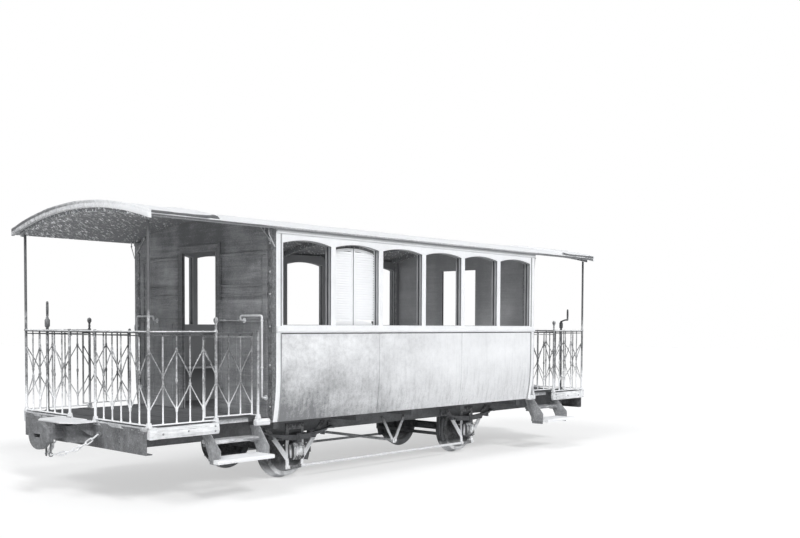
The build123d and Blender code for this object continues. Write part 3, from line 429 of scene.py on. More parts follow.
def rail_paint(name, level, worn, rails=0.0, above=0.0, amount=1.0):
    """Iron of posts and railings: mottled, dusty white near the floor, rail sides left dark, with
    painted light on upward faces and a painted highlight along the top rail.
    """
    f = Finish(name)
    wide = f.noise(7.0, 6.0, 0.68)
    fine = f.noise(48.0, 8.0, 0.78)
    high = f.axis("Z")
    # Painted light: upward faces paler.
    top = f.facing("Z").step(0.45, 0.9)
    pale_low = 1.0 - (high + wide * 0.20 - 0.10).step(FLOOR + 0.10, FLOOR + 0.36)
    # Painted highlight: a pale line along the upper side of the top rail.
    painted_highlight = high.step(RAIL_TOP - 0.013, RAIL_TOP - 0.009)
    band = high.step(RAIL_LOW - 0.014, RAIL_LOW - 0.010) * (1.0 - painted_highlight)
    pale = (wide.step(0.40, 0.60) * 0.40 + fine.step(0.46, 0.62) * 0.40) * amount
    pale = pale + pale_low * 0.8 + top * 0.35
    pale = (pale - band * (1.0 - top) * rails + painted_highlight * rails * 0.34).clamp()
    pale = pale * (1.0 - high.step(RAIL_TOP + 0.13, RAIL_TOP + 0.20) * above)
    f.colour(f.mix(pale, level, worn))
    f.bump(fine, 0.0014)
    return f


def worn_beam():
    """Bleached platform beams: long pale and grey streaks, dark cracks and scuffs."""
    f = Finish("worn_beam", roughness=0.75)
    wide = f.noise(5.0, 6.0, 0.65)
    streak = f.noise(6.0, 7.0, 0.74, (0.6, 5.0, 9.0), 2.0)
    crack = f.noise(9.0, 7.0, 0.78, (0.8, 4.0, 14.0), 7.0)
    dirt = wide.step(0.42, 0.7) * 0.3 + streak.step(0.42, 0.64) * 0.4
    dirt = (dirt + crack.step(0.55, 0.66) * 0.6).clamp()
    f.colour(f.mix(dirt, 0.99, 0.54))
    f.bump(streak * 0.5 + crack * 0.5, 0.003)
    return f


def guard_paint():
    """Guard legs: dark above and pale below, which is painted shade under the body and painted
    sunlight below its shadow's edge, their foot bars dark between the legs.
    """
    f = Finish("guard_iron", roughness=0.7)
    wide = f.noise(6.0, 6.0, 0.65)
    fine = f.noise(45.0, 8.0, 0.75)
    high = f.axis("Z")
    # Painted light and shade: pale below the edge of the body's shadow, dark above it.
    pale_low = 1.0 - (high + wide * 0.10 - 0.05).step(0.40, 0.60)
    between = 1.0 - (f.axis("X").size() - AXLE_X).size().step(0.076, 0.086)
    bar = between * (1.0 - high.step(0.185, 0.195))
    pale = (pale_low * 0.95 + fine.step(0.46, 0.64) * 0.25 - 0.08 - bar * 0.8).clamp()
    f.colour(f.mix(pale, 0.27, 0.998))
    f.bump(fine, 0.0014)
    return f


def box_cast():
    """Axleboxes: darker low down, with white streaks on the front, and dark on their sides, which
    is painted shade.
    """
    f = Finish("box_cast", roughness=0.6)
    wide = f.noise(9.0, 6.0, 0.7)
    streak = f.noise(18.0, 6.0, 0.7, (2.0, 2.0, 0.5), 3.0)
    # Painted shade: the sides, which look along the carriage, stay dark; only the front faces carry
    # the pale streaks.
    front = f.facing("Y").size().step(0.45, 0.75)
    low = 1.0 - (f.axis("Z") + wide * 0.06 - 0.03).step(0.24, 0.31)
    pale = ((streak.step(0.40, 0.60) * 0.9 + 0.12 - low * 0.5) * (0.12 + front)).clamp()
    f.colour(f.mix(pale, 0.30, 0.97))
    f.bump(streak, 0.002)
    return f


def dark_panelling():
    """Dark varnished wood of the end walls, dull, scuffed and dusty in patches, and paler towards
    the foot, which is painted light reaching in under the roof's edge.
    """
    f = Finish("end_wood", roughness=0.55)
    grain = f.noise(2.6, 8.0, 0.72, (1.0, 0.5, 9.0), 0.0, 0.8)
    wide = f.noise(2.8, 6.0, 0.65)
    speck = f.noise(80.0, 5.0, 0.85)
    # Painted light: paler lower down, where light reaches in under the roof's edge.
    pale_low = 1.0 - f.axis("Z").step(1.5, 2.5)
    pale = wide.step(0.4, 0.7) * 0.5 + grain.step(0.45, 0.68) * 0.35
    pale = (pale + speck.step(0.5, 0.64) * 0.5 + pale_low * 0.2).clamp()
    pale = (pale - (1.0 - f.axis("Y").size().step(0.37, 0.46)) * 0.35).clamp()
    cabin = (f.axis("X") * f.facing("X") * -1.0).step(0.3, 0.6)
    f.colour(f.mix(cabin, f.mix(pale, 0.42, 0.70), f.mix(pale, 0.60, 0.74)))
    f.set("Roughness", 0.5 + speck * 0.25)
    f.bump(grain * 0.6 + speck * 0.2, 0.0009)
    return f


def roof_canvas(name, level, dark, edge, lip=OVERHEAD):
    """Tarred canvas, coarse and stained, bleached between its edges and above its lip."""
    f = Finish(name, roughness=0.88)
    wide = f.noise(1.8, 6.0, 0.62)
    fine = f.noise(34.0, 8.0, 0.82)
    speck = f.noise(120.0, 5.0, 0.88)
    dirt = wide.step(0.34, 0.68) * 0.4 + fine.step(0.4, 0.62) * 0.5
    dirt = (dirt + speck.step(0.46, 0.64) * 0.4 - 0.1).clamp()
    tar = f.mix(dirt, level, dark)
    tar = f.mix(f.axis("X").size().step(2.0, 2.4), tar, f.mix(dirt, 0.50, 0.36))
    bleached = 1.0 - (f.axis("Y").size() + wide * 0.03).step(edge - 0.012, edge + 0.012)
    over = (f.axis("Z") + wide * 0.012 - 0.006).step(lip - 0.003, lip + 0.003)
    bleached = (bleached + over).clamp()
    f.colour(f.mix(bleached, tar, f.mix(dirt, BLEACH, BLEACH * 0.9)))
    f.bump(fine * 0.8 + speck * 0.6, 0.005)
    return f


def speckled_ceiling():
    """Dark boards under the roof, with pale flecks of old paint, thickest at the open ends."""
    f = Finish("ceiling", roughness=0.8)
    wide = f.noise(3.0, 5.0, 0.6)
    speck = f.noise(46.0, 3.0, 0.7, (5.0, 1.0, 1.0), 0.3, 0.0, 0.75)
    fine = f.noise(95.0, 2.0, 0.7, (5.0, 1.0, 1.0), 2.0, 0.0, 0.75)
    inward = 1.0 - f.axis("X").size().step(2.4, 3.5)
    pale = speck.step(0.54, 0.62) * (0.5 + wide) + fine.step(0.56, 0.66) * 0.6 - inward * 0.5
    across = f.facing("Y").size().step(0.6, 0.8)
    f.colour(f.mix(across, f.mix(pale.clamp(), 0.51, 0.998), 0.50))
    f.bump(speck, 0.002)
    return f


def weathered_end():
    """Arched end boards: thin strips along the arc, chalky on the near half, stained beyond."""
    f = Finish("roof_end", roughness=0.8)
    y, z = f.axis("Y"), f.axis("Z") - ROOF_CENTRE
    radius = (y * y + z * z).maths("SQRT") - ROOF_RADIUS
    strip = f.chance((radius / 0.013).whole())
    rough = f.noise(26.0, 7.0, 0.8)
    speck = f.noise(80.0, 4.0, 0.85)
    canvas = radius.step(-0.004, 0.006)
    far = y.step(-0.9, 1.1)
    dirt = strip * 0.35 + rough.step(0.42, 0.64) * 0.4
    dirt = dirt + speck.step(0.48, 0.62) * 0.35 + canvas * 0.25
    gap = 1.0 - (radius + 0.003).size().step(0.003, 0.008)
    dirt = (dirt * (0.28 + far * 1.25) + far * (0.25 + gap * 0.7) - 0.08).clamp()
    f.colour(f.mix(dirt, 0.998, 0.44))
    f.bump(rough * 0.7 + speck * 0.5, 0.004)
    return f


# Each finish with its grey where clean, its grey where worn or dirty, and how much of that
FINISHES = (
    side_paint(),
    brushed_paint("frame_paint", 0.985, 0.70, 0.3, inside=0.52),
    # Its top band is painted shade under the roof's eave.
    brushed_paint("moulding_paint", 0.985, 0.70, 0.3, inside=0.52, shade_above=EAVE_SHADE),
    reveal_wood(),
    brushed_paint("pillar_paint", 0.98, 0.70, 0.4, inside=0.5, ends=0.46),
    # Painted shade: the dark strip beside the corner pillars' boards.
    brushed_paint("groove_shade_paint", 0.66, 0.36, 0.8, 0.8),
    # Painted shade on the shutters' outer stiles.
    brushed_paint("leaf_edge_shade", 0.36, 0.26, 0.8, 0.8),
    planks("window_wood", 0.72, 0.46, "Z", "Y", 0.5, joints=0.0),
    # The line at SHUTTER_X is painted shade in the gap between the leaves.
    brushed_paint("shutter_paint", 0.998, 0.9, 0.25, seam=SHUTTER_X),
    dark_panelling(),
    planks("floor_wood", 0.44, 0.28, "Y", "X", 0.12),
    planks("bench_wood", 0.70, 0.48, "X", "Y", 0.072, joints=0.0),
    scrubbed_boards(),
    iron("worn_iron", 0.90, 0.995, 0.9),
    roof_canvas("roof_cover", 0.80, 0.50, edge=1.285, lip=ROOF_EDGE + 0.026),
    roof_canvas("hood_canvas", 0.62, 0.38, edge=1.262),
    weathered_end(),
    speckled_ceiling(),
    iron("rail_iron", 0.32, 0.74, 0.65),
    rail_paint("lattice_iron", 0.34, 0.98, rails=1.0),
    rail_paint("gate_iron", 0.34, 0.97, rails=1.0, amount=0.5),
    iron("grab_iron", 0.84, 0.998, 1.0),
    rail_paint("post_iron", 0.35, 0.93, above=0.92),
    worn_beam(),
    iron("bright_iron", 0.62, 0.93, 0.9),
    rusty_plate(),
    iron("under_iron", 0.38, 0.54, 0.7),
    iron("step_iron", 0.55, 0.82, 0.8),
    guard_paint(),
    box_cast(),
    iron("gear_cast", 0.56, 0.93, 0.8),
    iron("buffer_iron", 0.41, 0.68, 0.7),
    iron("tie_iron", 0.88, 0.98, 0.8),
    # Its pale lower rim is painted sunlight below the body's shadow.
    iron("wheel_steel", 0.28, 0.99, 0.6, low=0.06, high=0.17),
)
MATERIALS = {f.name: f.material for f in FINISHES}

# Meshes


def grid_faces(rows, cols, wrap_rows=False, wrap_cols=False):
    """Quads of a grid of points that runs row by row."""
    i = np.arange(rows if wrap_rows else rows - 1)[:, None]
    j = np.arange(cols if wrap_cols else cols - 1)[None, :]
    below = (i + 1) % rows
    right = (j + 1) % cols
    corners = [i * cols + j, i * cols + right, below * cols + right, below * cols + j]
    return np.stack(np.broadcast_arrays(*corners), axis=-1).reshape(-1, 4).tolist()


def circle(sides):
    """Cosines and sines of evenly spaced angles."""
    turn = np.linspace(0, 2 * math.pi, sides, endpoint=False)
    return np.cos(turn), np.sin(turn)


def unit(vector):
    """The same direction with length 1, for one vector or for rows of them."""
    vector = np.asarray(vector, dtype=float)
    return vector / np.linalg.norm(vector, axis=-1, keepdims=True)


def points_of(x, y, z):
    """One array of points from coordinates whose shapes fit together."""
    return np.stack(np.broadcast_arrays(x, y, z), axis=-1)


# Height and radius of a bolt head's rings, as shares of its own
DOME = ((-0.2, 1.0), (0.35, 0.96), (0.8, 0.66), (1.0, 0.25))


class Heap:
    """Gathers points and faces, and turns them into one object."""

    def __init__(self):
        self.points = []
        self.faces = []
        self.count = 0

    def add(self, points, faces):
        points = np.asarray(points, dtype=float).reshape(-1, 3)
        self.points.append(points)
        self.faces += [[i + self.count for i in face] for face in faces]
        self.count += len(points)
        return self

    def loft(self, points):
        """Rings of points joined in order, each row a ring, with a flat face at both ends."""
        rows, cols = points.shape[:2]
        last = (rows - 1) * cols
        faces = grid_faces(rows, cols, wrap_cols=True)
        return self.add(points, faces + [list(range(cols)), list(range(last, last + cols))])

    def block(self, x0, x1, y0, y1, z0, z1):
        """A box between two corners."""
        points = [(x, y, z) for x in (x0, x1) for y in (y0, y1) for z in (z0, z1)]
        faces = [(0, 1, 3, 2), (4, 6, 7, 5), (0, 4, 5, 1), (2, 3, 7, 6), (0, 2, 6, 4), (1, 5, 7, 3)]
        return self.add(points, faces)

    def tube(self, path, radius, sides=10, ref=(0.0, 0.0, 1.0), closed=False):
        """A round bar: path + radius * (cos a * side + sin a * other), closed by flat ends."""
        path = np.asarray(path, dtype=float)
        around = np.roll(path, -1, 0) - np.roll(path, 1, 0)
        along = unit(around if closed else np.gradient(path, axis=0))
        side = unit(np.cross(along, ref))
        other = np.cross(along, side)
        cos, sin = (part[None, :, None] for part in circle(sides))
        size = np.broadcast_to(radius, len(path))[:, None, None]
        points = path[:, None] + size * (cos * side[:, None] + sin * other[:, None])
        if closed:
            return self.add(points, grid_faces(len(path), sides, wrap_rows=True, wrap_cols=True))
        return self.loft(points)

    def rod(self, start, end, radius, sides=8):
        """A straight round bar."""
        steep = abs(unit(np.subtract(end, start))[2]) >= 0.9
        ref = (1.0, 0.0, 0.0) if steep else (0.0, 0.0, 1.0)
        return self.tube([start, end], radius, sides, ref)

    def turned(self, place, profile, axis="Z", sides=16):
        """A turned piece: radius r at distance h along the axis, from (h, r) pairs."""
        h, r = np.array(profile, dtype=float).T
        u, v = (r[:, None] * part for part in circle(sides))
        w = np.broadcast_to(h[:, None], u.shape)
        order = {"Z": (u, v, w), "X": (w, u, v), "Y": (v, w, u)}[axis]
        return self.loft(np.stack(order, axis=-1) + np.array(place))

    def spire(self, x, y, levels):
        """A square, tapering piece: half width at each height, from (z, half) pairs."""
        z, half = (part[:, None] for part in np.array(levels, dtype=float).T)
        corner = np.array([(-1, -1), (1, -1), (1, 1), (-1, 1)], dtype=float)
        return self.loft(points_of(corner[:, 0] * half + x, corner[:, 1] * half + y, z))

    def prism(self, outline, low, high, axis="Y"):
        """A flat plate cut to an outline in the plane across the axis, between two distances."""
        u, v = np.array(outline, dtype=float).T
        w = np.array([[low], [high]])
        order = {"X": (w, u, v), "Y": (u, w, v), "Z": (u, v, w)}[axis]
        return self.loft(points_of(*order))

    def shell(self, outer, inner):
        """Two grids of the same size with their rims joined, such as a sheet's two faces."""
        rows, cols = outer.shape[:2]
        n = rows * cols
        faces = grid_faces(rows, cols)
        faces += [[i + n for i in face] for face in faces]
        index = np.arange(n).reshape(rows, cols)
        rim = [*index[0], *index[1:, -1], *index[-1, -2::-1], *index[-2:0:-1, 0]]
        faces += [[a, b, b + n, a + n] for a, b in zip(rim, rim[1:] + rim[:1])]
        return self.add(np.concatenate([outer.reshape(-1, 3), inner.reshape(-1, 3)]), faces)

    def studs(self, places, normal, radius, height, sides=8):
        """Domed heads: rings of shrinking radius along the normal at each place."""
        normal = unit(normal)
        side = unit(np.cross(normal, (0.0, 0.0, 1.0) if abs(normal[2]) < 0.9 else (1.0, 0.0, 0.0)))
        cos, sin = (part[:, None] for part in circle(sides))
        ring = (cos * side + sin * np.cross(normal, side)) * radius
        head = Heap().loft(np.stack([normal * height * h + ring * r for h, r in DOME]))
        for place in places:
            self.add(head.points[0] + np.array(place, dtype=float), head.faces)
        return self

    def mirrored(self, axes):
        """The same heap turned over across the axes named, such as "xy"."""
        signs = np.array([-1.0 if name in axes else 1.0 for name in "xyz"])
        return Heap().add(np.vstack(self.points) * signs, self.faces)

    def joined(self, *others):
        """This heap and the others as one."""
        made = Heap()
        for other in (self,) + others:
            made.add(np.vstack(other.points), other.faces)
        return made

    def corners(self):
        """The heap at all four corners of the carriage."""
        return self.joined(self.mirrored("y"), self.mirrored("x"), self.mirrored("xy"))

    def sides(self):
        """The heap on both sides."""
        return self.joined(self.mirrored("y"))

    def ends(self):
        """The heap at both ends, turned half a circle."""
        return self.joined(self.mirrored("xy"))

    def both_ends(self):
        """The heap at both ends, mirrored."""
        return self.joined(self.mirrored("x"))

    def make(self, name, finish, *slot, **settings):
        """One closed object with outward normals, whose edges may be rounded."""
        mesh = bpy.data.meshes.new(name)
        mesh.from_pydata(np.vstack(self.points).tolist(), [], self.faces)
        work = bmesh.new()
        work.from_mesh(mesh)
        bmesh.ops.recalc_face_normals(work, faces=work.faces)
        work.to_mesh(mesh)
        work.free()
        dressed(mesh, name, finish, *slot, **settings)


def shown(name, data):
    """A new object of the scene."""
    obj = bpy.data.objects.new(name, data)
    bpy.context.scene.collection.objects.link(obj)
    return obj


def dressed(mesh, name, finish, slot=None, node=None, edge=0.0, auto=35.0, body=None):
    """Puts a mesh into the scene with its finish, rounded edges and place in the frame."""
    obj = shown(name, mesh)
    mesh.materials.clear()
    mesh.materials.append(MATERIALS[finish])
    mesh.shade_smooth()
    mesh.set_sharp_from_angle(angle=math.radians(auto))
    if edge:
        bevel = obj.modifiers.new("edge", "BEVEL")
        bevel.width = edge
        bevel.segments = 2
        bevel.limit_method = "ANGLE"
        bevel.angle_limit = math.radians(40)
        bevel.harden_normals = True
    if node:
        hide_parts(node)
    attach(obj, body or "carriage")


def softened(node, finish, slot=None, edge=0.003):
    """A copy of a CAD node with its doubles merged, flat faces made whole and edges rounded."""
    work = bmesh.new()
    work.from_mesh(bpy.data.objects[node].data)
    bmesh.ops.remove_doubles(work, verts=work.verts, dist=2e-5)
    flat = math.radians(1.0)
    bmesh.ops.dissolve_limit(work, angle_limit=flat, verts=work.verts, edges=work.edges)
    mesh = bpy.data.meshes.new(node + "_look")
    work.to_mesh(mesh)
    work.free()
    dressed(mesh, node + "_look", finish, slot, node, edge)


WAVES = 14
WAVE_GAIN = 2.2


def waves(u, v, seed, low=1.0, high=6.0):
    """Slow unevenness from -1 to 1: a sum of sines in chosen directions, longer ones stronger."""
    pick = np.random.default_rng(seed)
    total = np.zeros(np.broadcast(u, v).shape)
    weight = 0.0
    for rate in np.geomspace(low, high, WAVES):
        angle = pick.uniform(0, 2 * math.pi)
        along = u * math.cos(angle) + v * math.sin(angle)
        total = total + np.sin(rate * along * 6.28 + pick.uniform(0, 6.28)) / rate
        weight += 1.0 / rate
    return total / weight * WAVE_GAIN


def wear(u, v, seed, low=1.0, high=6.0):
    """The same unevenness from 0 to 1."""
    return 0.5 + 0.5 * waves(u, v, seed, low, high)


# Body sides


def side_depth(z):
    """Distance of the outer face from the middle: plumb above, an arc that turns under below."""
    fall = np.clip(TURN_START - z, 0.0, None)
    return SIDE_Y - (TURN_R - np.sqrt(TURN_R**2 - fall**2))


DENT = 0.0022


def lower_side(side, seed):
    """A sheet over x and z that follows side_depth, dented inwards by waves, with its lining."""
    reach = BODY_HALF - PILLAR
    x = np.linspace(-reach, reach, 181)[None, :]
    z = np.linspace(PANEL_LOW, WAIST, 40)[:, None]
    inside = np.clip((WAIST - z) / 0.05, 0, 1) * np.clip((z - PANEL_LOW) / 0.03, 0, 1)
    dent = DENT * (1 + waves(x, z * 1.6, seed, 0.5, 4.0)) * inside
    outer = points_of(x, side * (side_depth(z) - dent), z)
    return Heap().shell(outer, points_of(x, side * (side_depth(z) - WALL), z))


for side, name, seed in ((-1, "near", 3), (1, "far", 5)):
    lower_side(side, seed).make(
        "lower_side_" + name + "_sheet", "side_paint", node="lower_side_" + name, auto=50)
softened("cover_strips", "side_paint", edge=0.0025)
softened("window_frame_near", "frame_paint", edge=0.005)
softened("window_frame_far", "frame_paint", edge=0.005)
softened("side_mouldings", "moulding_paint", "frame_paint", edge=0.005)
softened("corner_pillars", "pillar_paint", "frame_paint", edge=0.006)


def opening_path(x, inset):
    """The outline of an arched window: up one side, along an arc and down the other."""
    half = WINDOW_WIDTH / 2 - inset
    arc = np.linspace(-half, half, 15)
    top = ARCH_Z + np.sqrt((ARCH_R - inset) ** 2 - arc**2)
    xs = np.concatenate([[-half], arc, [half]]) + x
    return xs, np.concatenate([[SILL + inset], top, [SILL + inset]])


# Depth behind the outer face and inset from the opening's edge of each moulding's corners
BEAD = ((0.002, -0.001), (0.002, 0.003), (0.007, 0.005), (0.012, 0.003), (0.012, -0.001))
STOP = ((0.030, -0.001), (0.030, 0.006), (0.034, 0.008), (0.044, 0.008), (0.048, 0.006),
        (0.048, -0.001))
INNER_STOP = ((0.074, -0.001), (0.074, 0.007), (0.0905, 0.007), (0.0905, -0.001))


def lining(depth):
    """A window lining that reaches that far in."""
    return ((0.0125, -0.001), (0.0125, 0.0015), (depth, 0.0015), (depth, -0.001))


def window_set(sections, shut_sections):
    """Mouldings in every window: rings of its outline at each corner of the section, joined.

    The window that has the shutter takes its own list of sections.
    """
    heap = Heap()
    for side in (-1, 1):
        for i in range(BAYS):
            for section in shut_sections if side < 0 and i == SHUT_BAY else sections:
                rings = []
                for depth, inset in section:
                    xs, zs = opening_path((i - (BAYS - 1) / 2) * BAY, inset)
                    rings.append(points_of(xs, side * (SIDE_Y - depth), zs))
                points = np.stack(rings)
                faces = grid_faces(*points.shape[:2], wrap_rows=True, wrap_cols=True)
                heap.add(points, faces)
    return heap


window_set((BEAD,), (BEAD,)).make("window_beads", "frame_paint", auto=50)
window_set((STOP, INNER_STOP), (STOP,)).make("window_stops", "window_wood", "frame_paint", auto=40)
window_set((lining(0.0735),), (lining(0.0700),)).make(
    "window_linings", "reveal_wood", "frame_paint")


def pillar_face(offset, half_width, stand):
    """A strip up the outer face of a corner pillar: a rounded profile carried up side_depth."""
    top = roof_z(SIDE_Y) - ROOF_THICK - 0.05
    z = np.concatenate([np.linspace(PANEL_LOW + 0.004, TURN_START, 12), [top]])[:, None]
    edge = ((-1.0, -0.002), (-1.0, 0.4 * stand), (-0.6, stand))
    ring = np.array(edge + tuple((-u, v) for u, v in edge[::-1]))
    x = -BODY_HALF + offset + ring[None, :, 0] * half_width
    return Heap().loft(points_of(x, -(side_depth(z) + ring[None, :, 1]), z))


pillar_face(0.028, 0.0275, 0.006).corners().make(
    "pillar_boards", "pillar_paint", "frame_paint", auto=60)
# A thin dark strip down each corner pillar beside the window frame: painted shade that stands for a
# groove.
pillar_face(0.0650, 0.0090, 0.0008).corners().make(
    "pillar_groove_shades", "groove_shade_paint", "frame_paint", auto=60)

# Flat irons down the end faces of the corner pillars, with coach bolts
IRON_X = -BODY_HALF - 0.006
IRON_Y = -SIDE_Y + TURN_IN + 0.004
IRON_TOP = roof_z(SIDE_Y) - ROOF_THICK - 0.12
CORNER_BOLTS = (0.11, 0.52, 0.90, 1.22, 1.44, 1.72)
bar = Heap().block(IRON_X, IRON_X + 0.007, IRON_Y, IRON_Y + 0.052, PANEL_LOW + 0.02, IRON_TOP)
bar.corners().make("corner_irons", "rail_iron", edge=0.002)
bolts = [(IRON_X, IRON_Y + 0.026, FLOOR + h) for h in CORNER_BOLTS]
Heap().studs(bolts, (-1, 0, 0), 0.011, 0.009).corners().make(
    "corner_bolts", "bright_iron", "rail_iron", auto=60)


def strip_screws():
    """Columns of screw heads up each cover strip, set on the turned-under face."""
    spots = [(x + dx, -float(side_depth(z)) - 0.007, z) for x in (-BAY, BAY)
             for z in np.linspace(PANEL_LOW + 0.05, WAIST - 0.05, 7) for dx in (-0.014, 0.014)]
    return Heap().studs(spots, (0, -1, 0), 0.0045, 0.002, 6)


strip_screws().sides().make("strip_screws", "side_paint", auto=60)

# Shutter in the second window of the near side

WALL_IN = -(SIDE_Y - WALL)
LEAF_Y = WALL_IN - 0.018
LEAF_OUT = WINDOW_WIDTH / 2 - 0.005
LEAF_FOOT = SILL + 0.005
SLAT = 0.0255


def shutter_leaf(s):
    """A stile-and-rail frame with an arched head, and apart from it the leaf's outer edge, which is
    given a dark finish as painted shade in the window's recess.
    """
    inner, outer, stile = 0.0034, LEAF_OUT, 0.026

    def top(x, drop):
        return ARCH_Z + math.sqrt((ARCH_R - 0.005) ** 2 - x**2) - drop

    def outline(line):
        return [(SHUTTER_X + s * x, z) for x, z in line]

    def bar(x0, x1, drop):
        head = [(x, top(x, drop)) for x in np.linspace(x0, x1, 8)[::-1]]
        return outline([(x0, LEAF_FOOT), (x1, LEAF_FOOT)] + head)

    foot_rail = bar(inner + stile, outer - stile, top(0.1, 0.0) - LEAF_FOOT - 0.05)
    xs = np.linspace(inner + stile, outer - stile, 9)
    head_rail = outline([(x, top(x, 0.030)) for x in xs] + [(x, top(x, 0.058)) for x in xs[::-1]])
    frame = Heap().prism(bar(inner, inner + stile, 0.030), LEAF_Y, WALL_IN)
    frame.prism(foot_rail, LEAF_Y + 0.001, WALL_IN - 0.001)
    frame.prism(head_rail, LEAF_Y + 0.001, WALL_IN - 0.001)
    return frame, Heap().prism(bar(outer - stile, outer - 0.003, 0.030), LEAF_Y + 0.0115, WALL_IN)


def shutter_slats(s):
    """Slats: the depth falls in a straight line over each pitch and jumps back at its end."""
    low, high = SILL + 0.052, WINDOW_SPRING - 0.030
    count = int((high - low) / SLAT)
    edge = np.linspace(low, high, count + 1)
    z = np.stack([edge[:-1], edge[1:] - 0.0015, edge[1:] - 0.0005], axis=1).ravel()
    y = np.tile([0.0015, 0.0085, 0.0015], count)
    x = np.array([0.028, 0.038, LEAF_OUT - 0.022, LEAF_OUT - 0.014]) * s + SHUTTER_X
    grid = points_of(x[None, :], (LEAF_Y + y)[:, None], z[:, None])
    back = grid.copy()
    back[..., 1] = LEAF_Y + 0.0125
    heap = Heap().shell(grid, back)
    tips = sorted((SHUTTER_X + s * (LEAF_OUT - 0.0145), SHUTTER_X + s * LEAF_OUT))
    for foot in edge[:-1]:
        heap.block(*tips, LEAF_Y + 0.001, LEAF_Y + 0.0115, foot, foot + SLAT * 0.5)
    return heap


def leaf_hinges(s):
    """Two hinges: a knuckle beside the leaf and a flap on its face."""
    heap = Heap()
    x = SHUTTER_X + s * (WINDOW_WIDTH / 2 - 0.0025)
    for z in (SILL + 0.126, WINDOW_SPRING - 0.112):
        heap.turned((x, WALL_IN + 0.004, z - 0.031), ((0, 0.0042), (0.030, 0.0042)), sides=12)
        heap.block(*sorted((x - s * 0.052, x)), WALL_IN + 0.0005, WALL_IN + 0.003, z - 0.030, z)
    return heap


for s, name in ((-1, "a"), (1, "b")):
    frame, outer_stile = shutter_leaf(s)
    body = "leaf_" + name
    frame.make("shutter_frame_" + name, "shutter_paint", node="shutter_leaf_" + name,
               edge=0.0015, body=body)
    # The outer stile is dark: painted shade where the leaf sits back in the recess.
    outer_stile.make("shutter_edge_" + name, "leaf_edge_shade", "shutter_paint", edge=0.001, body=body)
    shutter_slats(s).make("shutter_slats_" + name, "shutter_paint", auto=20, body=body)
    leaf_hinges(s).make("shutter_hinges_" + name, "bright_iron", "rail_iron",
                        edge=0.0006, body=body)

# End walls

END_HALF = SIDE_Y - PILLAR - TURN_IN
RAIL_BEAD, JOINT_BEAD = 0.0042, 0.0045
# Height of each rail's middle over the floor and its depth
END_RAILS = ((1.631, 0.040), (1.317, 0.026), (1.222, 0.026), (0.961, 0.034))


def end_wall_mouldings():
    """Pairs of beads along the rails, upright beads over the board joints, a stile each side."""
    heap = Heap()
    rail_x, joint_x = -BODY_HALF - PROUD + 0.0005, -BODY_HALF - 0.0005
    stile_box = (-BODY_HALF - 0.010, -BODY_HALF + 0.001)
    for side in (-1, 1):
        y_in, y_out = side * (DOOR_HALF + DOOR_FRAME), side * END_HALF
        for rail, deep in END_RAILS:
            for edge in (-1, 1):
                z = FLOOR + rail + edge * (deep / 2 - 0.004)
                heap.rod((rail_x, y_in, z), (rail_x, y_out, z), RAIL_BEAD)
        for y in np.linspace(DOOR_HALF + DOOR_FRAME, END_HALF, 7)[1:-1] * side:
            heap.rod((joint_x, y, FLOOR + 0.115), (joint_x, y, FLOOR + 0.94), JOINT_BEAD)
        for stile in ((y_out - side * 0.070, y_out), (y_in, y_in + side * 0.012)):
            heap.block(*stile_box, *sorted(stile), FLOOR + 0.11, FLOOR + 1.61)
    return heap


# Distance from the doorway's edge and stand from the wall of the casing's corners
CASING = ((0.0, 0.001), (0.0, 0.013), (0.012, 0.017), (0.020, 0.013), (0.060, 0.013),
          (0.066, 0.018), (0.080, 0.016), (0.083, 0.001))


def door_casing():
    """An architrave round the doorway: a profile of two beads carried up, across and down."""
    inset, stand = np.array(CASING).T
    half, top, foot = DOOR_HALF + inset, DOOR_TOP + inset, FLOOR + 0.002 + 0 * inset
    lines = ((-half, foot), (-half, top), (half, top), (half, foot))
    return Heap().loft(np.stack([points_of(-BODY_HALF - stand, y, z) for y, z in lines]))


for end in "ab":
    softened("bulkhead_" + end, "end_wood", edge=0.0025)
end_wall_mouldings().both_ends().make("end_wall_beads", "end_wood", edge=0.001, auto=50)
door_casing().both_ends().make("door_casings", "end_wood", auto=40)

# Floors

softened("body_floor", "floor_wood", edge=0.002)

BOARDS = 12
BOARD_GAP = 0.0015
NOTCH = (BODY_HALF + 0.176, LATCH_X - 0.027)
NOTCH_DEPTH = 0.078


def platform_boards():
    """Boards across a platform with worn, slightly cupped tops, cut back beside the steps."""
    heap = Heap()
    width = (FRAME_HALF - 0.012 - BODY_HALF) / BOARDS
    for k in range(BOARDS):
        x0, x1 = BODY_HALF + k * width + BOARD_GAP, BODY_HALF + (k + 1) * width - BOARD_GAP
        near_step = x1 > NOTCH[0] + 0.004 and x0 < NOTCH[1] - 0.004
        half = BEAM_IN - 0.001 - (NOTCH_DEPTH if near_step else 0.0)
        y = np.linspace(-half, half, 33)[:, None]
        x = np.linspace(x0, x1, 5)[None, :]
        cup = 0.0025 * wear(y, x * 0 + k * 1.7, 11, 0.4, 3.0)
        cup = cup + 0.0012 * ((x - (x0 + x1) / 2) / (width / 2)) ** 4
        heap.shell(points_of(-x, y, FLOOR - cup), points_of(-x, y, FLOOR_UNDER + 0.001))
    return heap


platform_boards().both_ends().make("platform_boards", "floor_wood", node="platform_floors", auto=40)

# Corners of a beam's section, as shares of its half sizes
BEAM_RING = np.array([(-1, -1), (-1, -0.4), (-1, 0.4), (-1, 1), (-0.3, 1), (0.4, 1), (1, 1),
                      (1, 0.4), (1, -0.4), (1, -1), (0.4, -1), (-0.3, -1)], dtype=float)


